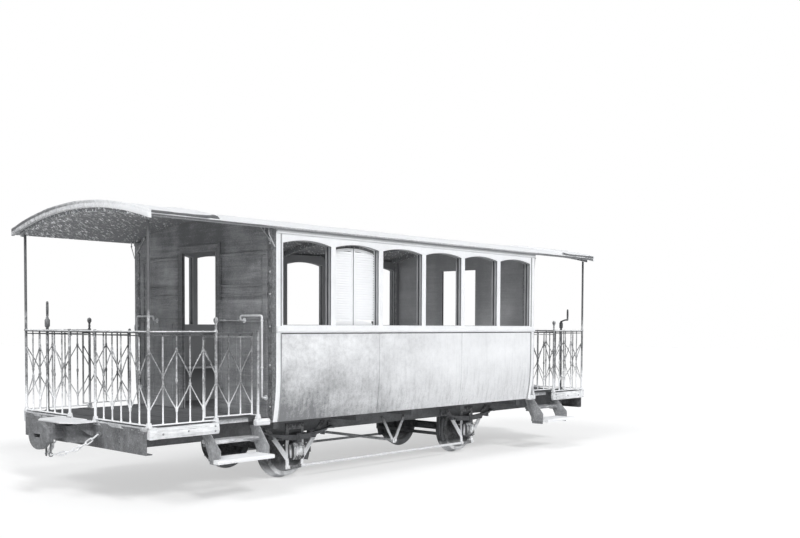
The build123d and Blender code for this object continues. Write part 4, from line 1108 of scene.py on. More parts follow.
def rough_beam(x0, x1, depth, seed, worn=0.0035, steps=60):
    """A weathered beam: a rounded rectangle carried along x, its surface pulled in by waves."""
    s = np.linspace(0, 1, steps)[:, None]
    x = -(x0 + (x1 - x0) * s)
    pull = worn * wear(x * 3.0, np.arange(12)[None, :] * 0.21, seed, 0.6, 7.0)
    corner = (np.abs(BEAM_RING).sum(axis=1) > 1.9)[None, :] * 0.0045
    tip = np.clip(1 - s * (x1 - x0) / 0.016, 0, 1) ** 2 * 0.010
    end = np.clip(1 - (1 - s) * (x1 - x0) / 0.012, 0, 1) ** 2 * 0.006
    shrink = pull + corner + tip + end
    half_y, half_z = BEAM_THICK / 2, depth / 2
    y = -(BEAM_IN + half_y) + BEAM_RING[None, :, 0] * (half_y - shrink)
    z = FLOOR - half_z + BEAM_RING[None, :, 1] * (half_z - shrink)
    return Heap().loft(points_of(x, y, z))


BEAM_END = NOTCH[1]
STUB_END = HINGE_X + 0.037
BEAM_FACE = -(BEAM_IN + BEAM_THICK)
beams = rough_beam(BEAM_END, FRAME_HALF - 0.012, 0.108, 21)
beams.joined(rough_beam(BODY_HALF, STUB_END, 0.070, 22, 0.003, 20)).corners().make(
    "side_beams", "worn_beam", "worn_iron", node="platform_side_beams", auto=50)

# Place along the beam and drop under the floor of each bolt
BEAM_BOLTS = ((-FRAME_HALF + 0.15, 0.062), (-BEAM_END - 0.055, 0.030), (-BEAM_END - 0.055, 0.075),
              (-FRAME_HALF + 0.42, 0.055))
bolts = [(x, BEAM_FACE + 0.003, FLOOR - drop) for x, drop in BEAM_BOLTS]
Heap().studs(bolts, (0, -1, 0), 0.011, 0.008).corners().make(
    "beam_bolts", "step_iron", "rail_iron", auto=60)

# A bent iron strap round the outer corner of the platform, over the beam's end
STRAP = (-FRAME_HALF + 0.0075, -FRAME_HALF + 0.0865)
strap = Heap().block(*STRAP, BEAM_FACE - 0.003, BEAM_FACE + 0.003, FLOOR - 0.104, FLOOR + 0.0015)
strap.block(*STRAP, BEAM_FACE - 0.003, -BEAM_IN + 0.02, FLOOR - 0.002, FLOOR + 0.0035)
strap.corners().make("corner_straps", "worn_beam", "worn_iron", edge=0.0015)

# Thin nosing strips along the edges of the floor's notches beside the steps
NOSING = (-BEAM_END, -STUB_END, -BEAM_IN + NOTCH_DEPTH - 0.003)
nosing = Heap().block(*NOSING, NOSING[2] + 0.033, FLOOR - 0.0005, FLOOR + 0.003)
nosing.block(*NOSING, NOSING[2] + 0.0035, FLOOR - 0.034, FLOOR + 0.003)
nosing.corners().make("edge_irons", "bright_iron", "worn_iron", edge=0.0012)

# Underframe

softened("solebars", "under_iron", "frame_iron", edge=0.002)
softened("cross_bearers", "under_iron", "frame_iron", edge=0.003)
softened("brake_gear", "under_iron", "frame_iron", edge=0.003)
softened("headstocks", "frame_iron", edge=0.0025)


def headstock_heads():
    """Rivets and bolts on the end plate: columns, a row and a line along the lower edge."""
    face, top = -FRAME_HALF, SOLEBAR_LOW + 0.225
    spots = []
    for side in (-1, 1):
        spots += [(face, side * 0.71, top - 0.045 - 0.055 * k) for k in range(3)]
        spots += [(face, side * (0.98 + 0.062 * k), top - 0.040) for k in range(3)]
        spots += [(face, side * 0.50, top - 0.045 - 0.075 * k) for k in range(2)]
    heap = Heap().studs(spots, (-1, 0, 0), 0.013, 0.009)
    small = [(face, y, SOLEBAR_LOW + 0.022) for y in np.linspace(-1.10, 1.10, 23)]
    return heap.studs(small, (-1, 0, 0), 0.0065, 0.004, 6)


headstock_heads().both_ends().make("headstock_rivets", "frame_iron", auto=60)

ANGLE_HALF = 1.16
# Corners of the angle iron's section
ANGLE = np.array([(0.0, 0.0), (0.0, 0.030), (0.004, 0.034), (0.030, 0.034), (0.030, 0.028),
                  (0.006, 0.028), (0.006, 0.0)])


def end_angle():
    """A rough angle iron over the end plate's top edge, under the railing."""
    y = np.linspace(-ANGLE_HALF, ANGLE_HALF, 70)[:, None]
    pull = 0.0018 * waves(y * 3, np.arange(7)[None, :] * 0.3, 31, 0.8, 8.0)
    x = -FRAME_HALF + ANGLE[None, :, 0] + pull * 0.5
    return Heap().loft(points_of(x, y, FLOOR - 0.032 + ANGLE[None, :, 1] + pull))


end_angle().both_ends().make("end_angles", "bright_iron", "frame_iron", auto=50)

# Roof

R_OUT = ROOF_RADIUS
R_IN = ROOF_RADIUS - ROOF_THICK
SHARE = np.linspace(-1, 1, 61)


def arched(x, y, radius):
    """Points over x and y on the circle of that radius about the roof's centre."""
    return points_of(x, y, roof_z(y, radius))


def roof_strip(x, share, r_out, r_in, rough=0.0, torn=0.0, seed=1):
    """A piece of the arched roof: y = share * half width, pulled in along torn edges."""
    x, share = x[:, None], share[None, :]
    y = share * ROOF_HALF
    pull = torn * wear(x * 2.2, share * 0.0, seed + 2, 0.8, 12.0)
    y_cut = np.sign(share) * np.minimum(np.abs(y), ROOF_HALF - pull)
    outer = arched(x, y_cut, r_out - rough * wear(x * 1.4, y * 1.4, seed, 0.5, 9.0))
    return Heap().shell(outer, arched(x, y_cut, r_in))


LINING = 0.0105
cover_x = np.linspace(-ROOF_END, ROOF_END, 221)
roof_strip(cover_x, SHARE, R_OUT, R_IN + LINING, 0.0035, 0.010, 41).make(
    "roof_cover_sheet", "roof_cover", node="roof_shell", auto=60)
lining_x = np.linspace(-ROOF_END + 0.004, ROOF_END - 0.004, 60)
roof_strip(lining_x, SHARE * 0.9985, R_IN + LINING - 0.0002, R_IN).make(
    "roof_boards", "ceiling", "hoop_wood", auto=60)


def roof_hood():
    """A second thickness of canvas over a platform, torn and rolled up at its inner edge."""
    end = HOOD_LENGTH + 0.016 * waves(SHARE * 1.6, SHARE * 0, 51, 0.5, 6.0) - 0.012
    end = np.minimum(end, HOOD_LENGTH)
    s = np.linspace(0, 1, 36)[:, None]
    x = -ROOF_END + s * end[None, :]
    y = np.broadcast_to(SHARE[None, :] * ROOF_HALF, x.shape)
    pull = 0.008 * wear(x * 2.4, y * 0, 53, 0.8, 10.0)
    y = np.sign(y) * np.minimum(np.abs(y), ROOF_HALF - pull)
    body = HOOD_THICK * (0.60 + 0.22 * waves(x * 1.6, y * 1.2, 52, 0.6, 8.0))
    roll = 0.012 * np.exp(-(((s - 0.96) / 0.03) ** 2)) * (1 + 0.5 * waves(y * 2, s * 0, 54))
    thick = np.clip((body + roll) * np.clip((1 - s) / 0.02, 0.15, 1), 0.002, HOOD_THICK)
    return Heap().shell(arched(x, y, R_OUT + thick), arched(x, y, R_OUT - 0.004))


roof_hood().both_ends().make(
    "roof_hoods_canvas", "hood_canvas", "roof_cover", node="roof_hoods", auto=60)


def fascia():
    """The arched end board: radial strip between two radii, rough with old paint."""
    share = np.linspace(-1, 1, 121)[None, :]
    x, cut = np.array([(-FASCIA, 0.004), (0.002 - FASCIA, 0.0), (0.001, 0.0)]).T[:, :, None]
    wave = np.clip(waves(share * 4, share * 0, 61, 1.0, 10.0), -1, 1)
    high = R_OUT + HOOD_THICK - cut - 0.003 * (0.5 + 0.5 * wave)
    low = R_IN - FASCIA_DROP + cut + 0.002 * (0.5 - 0.5 * wave)
    y = share * (ROOF_HALF - 0.002 - cut)
    return Heap().shell(arched(x - ROOF_END, y, high), arched(x - ROOF_END, y, low))


fascia().both_ends().make("roof_fascias", "roof_end", "roof_cover", auto=50)
softened("roof_hoops", "ceiling", "hoop_wood", edge=0.003)

# Distance along and radius of the stays' eyes and of the hangers' knobs
EYE = ((-0.012, 0.012), (-0.006, 0.016), (0.0, 0.012), (0.003, 0.004))
DROP = ((0.0, 0.004), (0.004, 0.010), (0.012, 0.010), (0.018, 0.005))


def eave_irons():
    """Small hangers under the eave near each corner pillar, and two thin slanting stays."""
    x = -BODY_HALF - 0.012
    stay_x = x - 0.05
    out, inside = -SIDE_Y + 0.067, -SIDE_Y + 0.222
    top = float(roof_z(SIDE_Y - 0.15, R_IN)) - 0.002
    z = float(roof_z(SIDE_Y - 0.03, R_IN)) - 0.066
    heap = Heap().rod((x, out, top - 0.150), (x, inside, top - 0.006), 0.0065)
    heap.rod((stay_x, -SIDE_Y + 0.032, z), (x + 0.006, -SIDE_Y + 0.006, z - 0.125), 0.0045)
    for y, z in ((out, top - 0.150), (inside, top)):
        heap.turned((x + 0.004, y, z), EYE, "X", 10)
    for y in (-SIDE_Y + 0.10, -SIDE_Y + 0.032):
        z = float(roof_z(y, R_IN))
        heap.rod((stay_x, y, z + 0.002), (stay_x, y, z - 0.055), 0.006)
        heap.turned((stay_x, y, z - 0.066), DROP, "Z", 10)
    return heap


eave_irons().corners().make("eave_irons", "bright_iron", "rail_iron", node="eave_brackets", auto=50)

# Posts, railings and gates

# Height and half width of a post's foot, and of its collars' edges the height and share of radius
FOOT_PLAN = ((FLOOR + 0.0003, 0.022), (FLOOR + 0.010, 0.022), (FLOOR + 0.014, 0.0195),
             (FLOOR + 0.044, 0.0155))
COLLAR = ((-0.014, 1.0), (-0.008, 1.35), (0.008, 1.35), (0.014, 1.0))


def post(x, y, top, collars=()):
    """A round post with a four-sided foot and forged collars: radius against height."""
    rows = [(FLOOR + 0.03, POST_R)]
    rows += [(z + dz, POST_R * share) for z in sorted(collars) for dz, share in COLLAR]
    return Heap().spire(x, y, FOOT_PLAN).turned((x, y, 0), rows + [(top, POST_R)])


post_top = float(roof_z(POST_Y + POST_R, R_IN - 0.042)) - 0.0003
post(-POST_X, -POST_Y, post_top, (RAIL_TOP - 0.006, RAIL_FOOT)).corners().make(
    "corner_post_irons", "post_iron", "rail_iron", node="corner_posts", auto=50)

# Height and radius of the latch post's finial and of the hinge post's cap
BULB = ((0.0, 0.010), (0.020, 0.0095), (0.036, 0.014), (0.052, 0.010), (0.070, 0.013),
        (0.086, 0.022), (0.104, 0.0235), (0.118, 0.019), (0.127, 0.009), (0.129, 0.002))
CAP = ((0, 0.012), (0.010, 0.015), (0.020, 0.012), (0.024, 0.003))
LUG_TOP = GATE_TOP + 0.0003


def hinge_lug():
    """The outline of a lug that reaches from the hinge post to the gate's stile."""
    start, end = np.array([-HINGE_X, -POST_Y]), np.array([-GATE_X, -GATE_Y])
    along = unit(end - start)
    across = np.array([-along[1], along[0]]) * 0.010
    a, b = start - along * 0.008, end + along * 0.008
    tip = b + along * 0.006
    return [a + across, b + across, tip + across * 0.4, tip - across * 0.4, b - across, a - across]


def short_post_set():
    """Latch post with a bulb finial, hinge post with its lugs, and the gangway post."""
    latch = post(-LATCH_X, -POST_Y, RAIL_TOP + 0.016, (RAIL_TOP - 0.006,))
    latch.turned((-LATCH_X, -POST_Y, RAIL_TOP), BULB)
    hinge = post(-HINGE_X, -POST_Y, LUG_TOP + 0.005)
    for z in (GATE_FOOT - 0.0053, LUG_TOP):
        hinge.prism(hinge_lug(), z, z + 0.005, "Z")
    hinge.turned((-HINGE_X, -POST_Y, LUG_TOP + 0.004), CAP)
    gangway = post(-POST_X, -GANGWAY, RAIL_TOP + 0.010, (RAIL_FOOT,))
    gangway.block(-POST_X - 0.009, -POST_X + 0.009, -GANGWAY, -GANGWAY + POST_R + 0.025,
                  RAIL_LOW - 0.0213, RAIL_LOW - 0.0163)
    return latch.joined(hinge, gangway)


short_post_set().corners().make(
    "short_post_irons", "post_iron", "rail_iron", node="short_posts", edge=0.0008, auto=50)

# Offset in height and share of the radius at a baluster's foot and at its collars
BAR_FOOT = ((0, 1.0), (0.004, 1.35), (0.016, 1.3), (0.022, 1.0))
BAR_COLLAR = ((-0.019, 1.0), (-0.013, 1.5), (0, 1.62), (0.013, 1.5), (0.019, 1.0))


def bar_profile(z0, z1, even):
    """Radius of a baluster against height: thick at the foot and where the arms join it."""
    high, upper, lower, low = JOINTS
    rows = [(z0 + dz, BALUSTER_R * share) for dz, share in BAR_FOOT]
    for z in (low, (upper + lower) / 2, high) if even else (lower, upper):
        if z0 + 0.03 < z < z1 - 0.03:
            rows += [(z + dz, BALUSTER_R * share) for dz, share in BAR_COLLAR]
    return rows + [(z1, BALUSTER_R)]


def forked_arm(x0, z0, x1, z1):
    """An arm from one bar to the next, a little bowed and thinnest at its middle."""
    t = np.linspace(0.02, 0.97, 9)
    z = z0 + (z1 - z0) * t - 0.006 * np.sin(t * math.pi) * np.sign(z1 - z0)
    path = points_of(x0 + (x1 - x0) * t, 0 * t, z)
    size = BALUSTER_R * (0.72 + 0.28 * np.abs(2 * t - 1) ** 4)
    return Heap().tube(path, size, 8, ref=(0.0, 1.0, 0.0))


def lattice(length, spaces, z0, z1):
    """Balusters along +X with forked arms that rise and fall between them."""
    pitch = length / spaces
    high, upper, lower, low = JOINTS
    heap = Heap()
    for i in range(1, spaces):
        heap.turned((i * pitch, 0, 0), bar_profile(z0, z1, i % 2 == 0), "Z", 10)
    arms = [forked_arm(i * pitch, start, n * pitch, end)
            for i in range(0, spaces + 1, 2) for n in (i - 1, i + 1) if 0 <= n <= spaces
            for start, end in ((high, upper), (low, lower))]
    return heap.joined(*arms)


RAIL_RING = np.array([(-1, 0), (-1, 0.6), (-0.8, 0.92), (-0.45, 1), (0.45, 1), (0.8, 0.92),
                      (1, 0.6), (1, 0)])


def flat_rail(x0, x1, y_half, z0, z1, bow=0.0):
    """A rail with rounded upper edges, slightly uneven along its length."""
    x = np.linspace(x0, x1, 24)[:, None]
    rise = bow * waves(x * 1.2, x * 0, 71, 0.5, 3.0)
    z = z0 + RAIL_RING[None, :, 1] * (z1 - z0) + rise
    return Heap().loft(points_of(x, RAIL_RING[None, :, 0] * y_half, z))


def railing(length, spaces, start, end):
    """A railing between two posts, from x = start to x = end of a run of that length."""
    heap = lattice(length, spaces, RAIL_FOOT - 0.004, RAIL_LOW - 0.002)
    for x in np.arange(1, spaces) * length / spaces:
        heap.turned((x, 0, 0), ((RAIL_LOW - 0.001, 0.006), (RAIL_TOP - 0.012, 0.006)), "Z", 8)
        heap.studs([(x, 0, RAIL_TOP - 0.001)], (0, 0, 1), 0.0075, 0.0035)
    return heap.joined(
        flat_rail(start, end, POST_R + 0.002, RAIL_TOP - 0.022, RAIL_TOP, 0.0012),
        flat_rail(start, end, 0.008, RAIL_LOW - 0.010, RAIL_LOW),
        flat_rail(start + 0.006, end - 0.006, 0.0138, RAIL_FOOT - 0.010, RAIL_FOOT))


def placed(heap, x, y, turn=0.0):
    """The heap turned about the upright axis and moved."""
    points = np.vstack(heap.points)
    a = math.radians(turn)
    flat = points[:, :2] @ np.array([(math.cos(a), math.sin(a)), (-math.sin(a), math.cos(a))])
    return Heap().add(np.column_stack([flat + (x, y), points[:, 2]]), heap.faces)


CLEAR = POST_R + 0.0003
for name, run, spaces, turn in (("side", POST_X - LATCH_X, 5, 0), ("end", POST_Y - GANGWAY, 6, 90)):
    rails = placed(railing(run, spaces, CLEAR, run - CLEAR), -POST_X, -POST_Y, turn)
    rails.corners().make(
        name + "_railing_irons", "lattice_iron", "rail_iron", node=name + "_railings", auto=50)

# Half width, underside and top of a gate's rails
GATE_RAILS = ((0.010, GATE_TOP - 0.018, GATE_TOP), (0.009, GATE_FOOT, GATE_FOOT + 0.012),
              (0.008, GATE_TOP - 0.044, GATE_TOP - 0.035))


def gate():
    """A gate with its hinge stile at x = 0, three rails and forked bars, reaching to -X."""
    heap = lattice(GATE_LENGTH, 4, GATE_FOOT, GATE_TOP - 0.010)
    for x in (0.0, GATE_LENGTH):
        heap.turned((x, 0, 0), ((GATE_FOOT, 0.0095), (GATE_TOP, 0.0095)), "Z", 14)
    for half, low, high in GATE_RAILS:
        heap = heap.joined(flat_rail(-0.006, GATE_LENGTH + 0.006, half, low, high))
    return heap.mirrored("x")


gate_near_a = placed(gate(), -GATE_X, -GATE_Y)
for name, axes in (("a_near", ""), ("a_far", "y"), ("b_near", "x"), ("b_far", "xy")):
    gate_near_a.mirrored(axes).make("gate_" + name + "_irons", "gate_iron", "rail_iron",
                                    node="gate_" + name, auto=50, body="gate_" + name + "_body")


def gangway_bar():
    """Two rails between upright ends."""
    half = GANGWAY - POST_R - 0.014
    heap = Heap()
    for y in (-half, half):
        heap.turned((-POST_X, y, 0), ((RAIL_LOW - 0.016, 0.0078), (RAIL_TOP, 0.0078)), "Z", 12)
    for wide, depth, top in ((0.0078, 0.020, RAIL_TOP), (0.005, 0.010, RAIL_LOW)):
        rail = flat_rail(-half, half, wide, top - depth, top)
        heap = heap.joined(placed(rail, -POST_X, 0, 90))
    return heap


for end, axes in (("a", ""), ("b", "xy")):
    name = "gangway_bar_" + end
    gangway_bar().mirrored(axes).make(
        name + "_irons", "lattice_iron", "rail_iron", node=name, auto=50, body="bar_" + end)

# Fall plates

KNUCKLE_X = FRAME_HALF + 0.0103
KNUCKLE_Z = FLOOR + 0.001
PLATE_HALF = 0.345
PLATE_TIP = FRAME_HALF + 0.325
CUT_LENGTH = 0.090
CUT_WIDTH = 0.144


def fall_plate():
    """A worn plate with cut corners: top and bottom grids over length and width, dished."""
    s = np.linspace(0, 1, 30)[:, None]
    t = np.linspace(-1, 1, 40)[None, :]
    x0 = KNUCKLE_X + 0.013
    reach = PLATE_TIP - x0
    cut = np.clip((s * reach - (reach - CUT_LENGTH)) / CUT_LENGTH, 0, 1)
    x, y = np.broadcast_arrays(x0 + s * reach, t * (PLATE_HALF - CUT_WIDTH * cut))
    sunk = 0.0012 * wear(x * 3, y * 3, 81, 0.5, 5.0) + 0.001 * (np.abs(t) > 0.97)
    upper = points_of(-x, y, KNUCKLE_Z + 0.005 - sunk)
    heap = Heap().shell(upper, points_of(-x, y, KNUCKLE_Z - 0.005))
    for y0, y1 in ((-PLATE_HALF, -0.250), (-0.150, 0.150), (0.250, PLATE_HALF)):
        barrel = ((y0, 0.0075), (y0 + 0.002, 0.009), (y1 - 0.002, 0.009), (y1, 0.0075))
        heap.turned((-KNUCKLE_X, 0, KNUCKLE_Z), barrel, "Y", 14)
        heap.block(-x0 - 0.004, -KNUCKLE_X, y0, y1, KNUCKLE_Z - 0.004, KNUCKLE_Z + 0.004)
        for y in np.linspace(y0 + 0.03, y1 - 0.03, 2 if y1 - y0 < 0.2 else 3):
            heap.studs([(-x0 - 0.022, y, KNUCKLE_Z + 0.004)], (0, 0, 1), 0.0065, 0.003)
    return heap


for end, axes in (("a", ""), ("b", "x")):
    name = "fall_plate_" + end
    fall_plate().mirrored(axes).make(
        name + "_sheet", "worn_iron", node=name, auto=45, body="plate_" + end)

# Steps

softened("step_sides", "step_iron", "frame_iron", edge=0.001)
STEP_A = BODY_HALF + 0.137
STEP_B = STEP_A + 0.578
TREAD = 0.038
UPPER_TOP = FLOOR - 0.166
LOWER_TOP = FLOOR - 0.323
TREAD_OUT = BEAM_IN + 0.157 + 0.048

# Share of the width from the front edge and of the thickness at each corner of a tread
TREAD_RING = np.array([
    (0, 0.10), (0.0, 0.55), (0.006, 0.85), (0.02, 1.0), (0.2, 1.0), (0.4, 1.0), (0.6, 1.0),
    (0.8, 1.0), (0.98, 1.0), (0.994, 0.85), (1.0, 0.5), (1.0, 0.10), (0.99, 0.0), (0.6, 0.0),
    (0.3, 0.0), (0.01, 0.0)])


def tread(x0, x1, y0, y1, top, seed):
    """A worn step board: its top cupped by waves, its long edges rounded and chipped."""
    across, rise = TREAD_RING.T[:, None, :]
    x = np.linspace(x0, x1, 46)[:, None]
    y = y0 + across * (y1 - y0)
    chip = 0.006 * np.exp(-(across / 0.05) ** 2) * wear(x * 4, x * 0, seed, 1.0, 9.0)
    cup = 0.0035 * wear(x * 2, y * 3, seed + 1, 0.6, 5.0) * (rise > 0.8)
    return Heap().loft(points_of(-x, chip - y, top - TREAD * (1 - rise) - cup))


STEP_IN = (STEP_A + 0.0065, STEP_B - 0.0065)
upper_tread = tread(*STEP_IN, BEAM_IN + 0.056, BEAM_IN - 0.094, UPPER_TOP, 91)
lower_tread = tread(*STEP_IN, TREAD_OUT + 0.0003, TREAD_OUT - 0.190, LOWER_TOP, 93)
nose = tread(STEP_A, STEP_B + 0.080, TREAD_OUT + 0.080, TREAD_OUT + 0.0003, LOWER_TOP, 95)
upper_tread.joined(lower_tread, nose).corners().make(
    "step_boards", "tread_wood", "floor_wood", node="step_treads", auto=45)

# Top of each step board, and the outer and inner edge of its cleats
CLEATS = ((UPPER_TOP, BEAM_IN + 0.050, BEAM_IN - 0.080),
          (LOWER_TOP, TREAD_OUT - 0.01, TREAD_OUT - 0.180))


def step_irons():
    """Angle cleats under the boards and bolts through the step plates."""
    heap = Heap()
    for x, s in zip(STEP_IN, (1, -1)):
        for top, y0, y1 in CLEATS:
            z = top - TREAD - 0.0004
            for width, depth in ((0.026, 0.004), (0.004, 0.028)):
                heap.block(*sorted((-x, -x - s * width)), -y0, -y1, z - depth, z)
    spots = [(-(TREAD_OUT - 0.05 - 0.055 * k), LOWER_TOP - 0.022) for k in range(3)]
    spots += [(-(BEAM_IN + 0.02 - 0.06 * k), UPPER_TOP - 0.022) for k in range(2)]
    for x, s in ((STEP_A, 1), (STEP_B, -1)):
        heap.studs([(-x, y, z) for y, z in spots], (s, 0, 0), 0.008, 0.005)
    return heap


step_irons().corners().make("step_cleats", "step_iron", "frame_iron", edge=0.0008, auto=50)

# Grab rails, brake columns and benches

GRAB_OUT = SIDE_Y - 0.142
GRAB_IN = SIDE_Y - 0.482

GRAB_R = 0.0105
GRAB_BEND = 0.024
GRAB_LOW, GRAB_TOP, GRAB_END = FLOOR + 0.197, RAIL_TOP + 0.149, RAIL_TOP + 0.101
# Distance along and radius of the grab rail's flanges and collars
FLANGE = ((-0.008, 0.014), (-0.006, 0.026), (0.0, 0.027))
GRAB_COLLAR = ((-0.010, GRAB_R), (-0.006, 0.0145), (0.006, 0.0145), (0.010, GRAB_R))


def rounded_path(points, radius):
    """A polyline whose corners are arcs: each corner is blended by a quadratic curve."""
    points = [np.array(p, dtype=float) for p in points]
    made = [points[0]]
    t = np.linspace(0, 1, 6)[:, None]
    for before, corner, after in zip(points, points[1:], points[2:]):
        a, b = (corner + unit(other - corner) * radius for other in (before, after))
        made += list((1 - t) ** 2 * a + 2 * t * (1 - t) * corner + t**2 * b)
    return np.array(made + [points[-1]])


def grab_rail():
    """A bent bar with round flanges at both feet and collars on its upright."""
    wall = -BODY_HALF - PROUD
    x = -BODY_HALF - 0.062
    path = [(wall, -GRAB_OUT, GRAB_LOW), (x, -GRAB_OUT, GRAB_LOW), (x, -GRAB_OUT, GRAB_TOP),
            (x, -GRAB_IN, GRAB_TOP), (x, -GRAB_IN, GRAB_END), (wall, -GRAB_IN, GRAB_END)]
    heap = Heap().tube(rounded_path(path, GRAB_BEND), GRAB_R, 12, ref=(0.31, 0.62, 0.72))
    for y, z in ((-GRAB_OUT, GRAB_LOW), (-GRAB_IN, GRAB_END)):
        heap.turned((wall - 0.0002, y, z), FLANGE, "X")
        screws = [(wall - 0.006, y + dy, z) for dy in (0.019, -0.019)]
        heap.studs(screws, (-1, 0, 0), 0.004, 0.002, 6)
    for z in (GRAB_TOP - 0.05, GRAB_LOW + 0.30):
        heap.turned((x, -GRAB_OUT, z), GRAB_COLLAR, "Z", 12)
    return heap


grab_rail().corners().make("grab_rail_irons", "grab_iron", "rail_iron", node="grab_rails", auto=50)

# Distance beyond the doorway's edge and radius of the latch's bar and knob
LATCH = ((0.45, 0.005), (0.13, 0.005), (0.125, 0.009), (0.10, 0.010), (0.095, 0.004))


def belt_latch():
    """A level bolt bar with a knob on the end wall beside the doorway, over the belt rail."""
    x, z = -BODY_HALF - PROUD - 0.010, FLOOR + 0.961
    heap = Heap().turned((x, 0, z), [(-DOOR_HALF - y, r) for y, r in LATCH], "Y", 10)
    for y in (-DOOR_HALF - 0.16, -DOOR_HALF - 0.42):
        heap.block(x - 0.008, x + 0.0105, y - 0.010, y + 0.010, z - 0.010, z + 0.010)
    return heap


belt_latch().both_ends().make("belt_latches", "bright_iron", "rail_iron", edge=0.001, auto=50)

BRAKE_X = POST_X - 0.084
BRAKE_Y = POST_Y - 0.300
BRAKE_TOP = RAIL_TOP + 0.107
CRANK, CRANK_TURN = 0.180, math.radians(63.0)
CRANK_TIP = (-BRAKE_X + CRANK * math.cos(CRANK_TURN), BRAKE_Y + CRANK * math.sin(CRANK_TURN))
# Height and radius of the spindle, its foot bearing and the crank's wooden grip
SPINDLE = ((SOLEBAR_LOW - 0.060, 0.012), (SOLEBAR_LOW - 0.050, 0.015), (BRAKE_TOP - 0.084, 0.015),
           (BRAKE_TOP - 0.080, 0.021), (BRAKE_TOP - 0.070, 0.026), (BRAKE_TOP - 0.010, 0.026),
           (BRAKE_TOP, 0.021), (BRAKE_TOP + 0.008, 0.015), (BRAKE_TOP + 0.022, 0.013))
BEARING = ((0.0005, 0.040), (0.006, 0.040), (0.010, 0.030), (0.030, 0.024), (0.036, 0.019))
GRIP = ((0.0, 0.010), (0.006, 0.0135), (0.020, 0.0125), (0.080, 0.014), (0.145, 0.0125),
        (0.155, 0.010), (0.160, 0.004))


def brake_column():
    """Spindle with a foot bearing and a turned head, a bent crank and a turned wooden grip."""
    heap = Heap().turned((-BRAKE_X, BRAKE_Y, 0), SPINDLE, "Z", 18)
    heap.turned((-BRAKE_X, BRAKE_Y, FLOOR), BEARING, "Z", 20)
    heap.studs([(-BRAKE_X + 0.032 * math.cos(a), BRAKE_Y + 0.032 * math.sin(a), FLOOR + 0.007)
                for a in (0.8, 2.36, 3.9, 5.5)], (0, 0, 1), 0.005, 0.004, 6)
    t = np.linspace(0, 1, 9)[:, None]
    start = np.array((-BRAKE_X, BRAKE_Y, BRAKE_TOP + 0.012))
    end = np.array((*CRANK_TIP, BRAKE_TOP + 0.038))
    path = start + (end - start) * t + np.array((0, 0, 0.008)) * np.sin(t * math.pi)
    heap.tube(path, 0.0105 + 0.002 * np.abs(2 * t[:, 0] - 1) ** 3, 12)
    return heap.turned((*CRANK_TIP, BRAKE_TOP + 0.030), GRIP)


brake_column().ends().make("brake_column_irons", "rail_iron", node="brake_columns", auto=50)
softened("benches", "bench_wood", "floor_wood", edge=0.003)

# Wheels, axles and their guards

WHEEL_BACK = 0.463
FLANGE_HIGH = 0.028
WHEEL_WIDE = 0.122
RIVET_CIRCLE = 0.232


def wheel_profile():
    """Distance across and radius of a wheel's outline, with rounded flange, rim, web and hub."""
    r, f, w = WHEEL_R, FLANGE_HIGH, WHEEL_WIDE
    flange = [(0.0, r + f - 0.008), (0.002, r + f - 0.003), (0.008, r + f), (0.018, r + f),
              (0.023, r + f - 0.005), (0.027, r + 0.010), (0.032, r + 0.003), (0.040, r)]
    rim = [(w - 0.010, r - 0.0005), (w - 0.002, r - 0.004), (w, r - 0.009), (w, r - 0.045),
           (w - 0.003, r - 0.049)]
    web = [(0.080, r - 0.056), (0.070, r - 0.066), (0.060, r - 0.110), (0.058, 0.120),
           (0.064, 0.104), (0.072, 0.099)]
    hub = [(w + 0.004, 0.096), (w + 0.008, 0.090), (w + 0.008, 0.050), (-0.018, 0.050),
           (-0.018, 0.092), (-0.014, 0.098), (0.026, 0.099), (0.033, 0.106), (0.035, 0.120),
           (0.045, r - 0.075), (0.040, r - 0.062), (0.003, r - 0.049), (0.0, r - 0.046)]
    return np.array(flange + rim + web + hub)


def wheel(x):
    """The far wheel of an axle: its profile turned about the Y axis, with rivets on its web."""
    across, radius = wheel_profile().T[:, :, None]
    cos, sin = circle(72)
    points = points_of(x + radius * cos, WHEEL_BACK + across, AXLE_Z + radius * sin)
    heap = Heap().add(points, grid_faces(*points.shape[:2], wrap_rows=True, wrap_cols=True))
    turns = np.arange(8) * math.pi / 4 + 0.2
    spots = points_of(x + RIVET_CIRCLE * np.cos(turns), WHEEL_BACK + 0.0605,
                      AXLE_Z + RIVET_CIRCLE * np.sin(turns))
    return heap.studs(spots, (0, 1, 0), 0.011, 0.008, 10)


# Distance from the middle and radius of the steps of half an axle
AXLE_STEPS = ((-0.762, 0.0375), (-0.620, 0.0375), (-0.6165, 0.04752), (-0.611, 0.0495),
              (-0.423, 0.0495), (-0.403, 0.052), (-0.10, 0.04992))


def axle(x):
    """A turned axle with stepped journals."""
    rows = AXLE_STEPS + tuple((-h, r) for h, r in AXLE_STEPS[::-1])
    return Heap().turned((x, 0, AXLE_Z), rows, "Y", 32)


for name, x in (("a", -AXLE_X), ("b", AXLE_X)):
    for side, axes in (("far", ""), ("near", "y")):
        node = "wheel_" + name + "_" + side
        wheel(x).mirrored(axes).make(
            node + "_tyre", "wheel_steel", node=node, auto=40, body="wheelset_" + name)
    node = "axle_" + name
    axle(x).make(node + "_bar", "wheel_steel", node=node, auto=40, body="wheelset_" + name)

softened("axle_guards", "guard_iron", "gear_iron", edge=0.002)
softened("axleboxes", "box_cast", "gear_cast", edge=0.006)
softened("springs", "under_iron", "gear_iron", edge=0.0015)
GUARD_Y = SOLEBAR_Y + 0.0123
LEG_X = 0.104
TIE_Y = GUARD_Y + 0.008
TIE_Z = up(0.118)


def at_axles(piece):
    """One piece at both axles and on both sides, from a function of the axle's x."""
    return piece(-AXLE_X).joined(piece(AXLE_X)).sides()


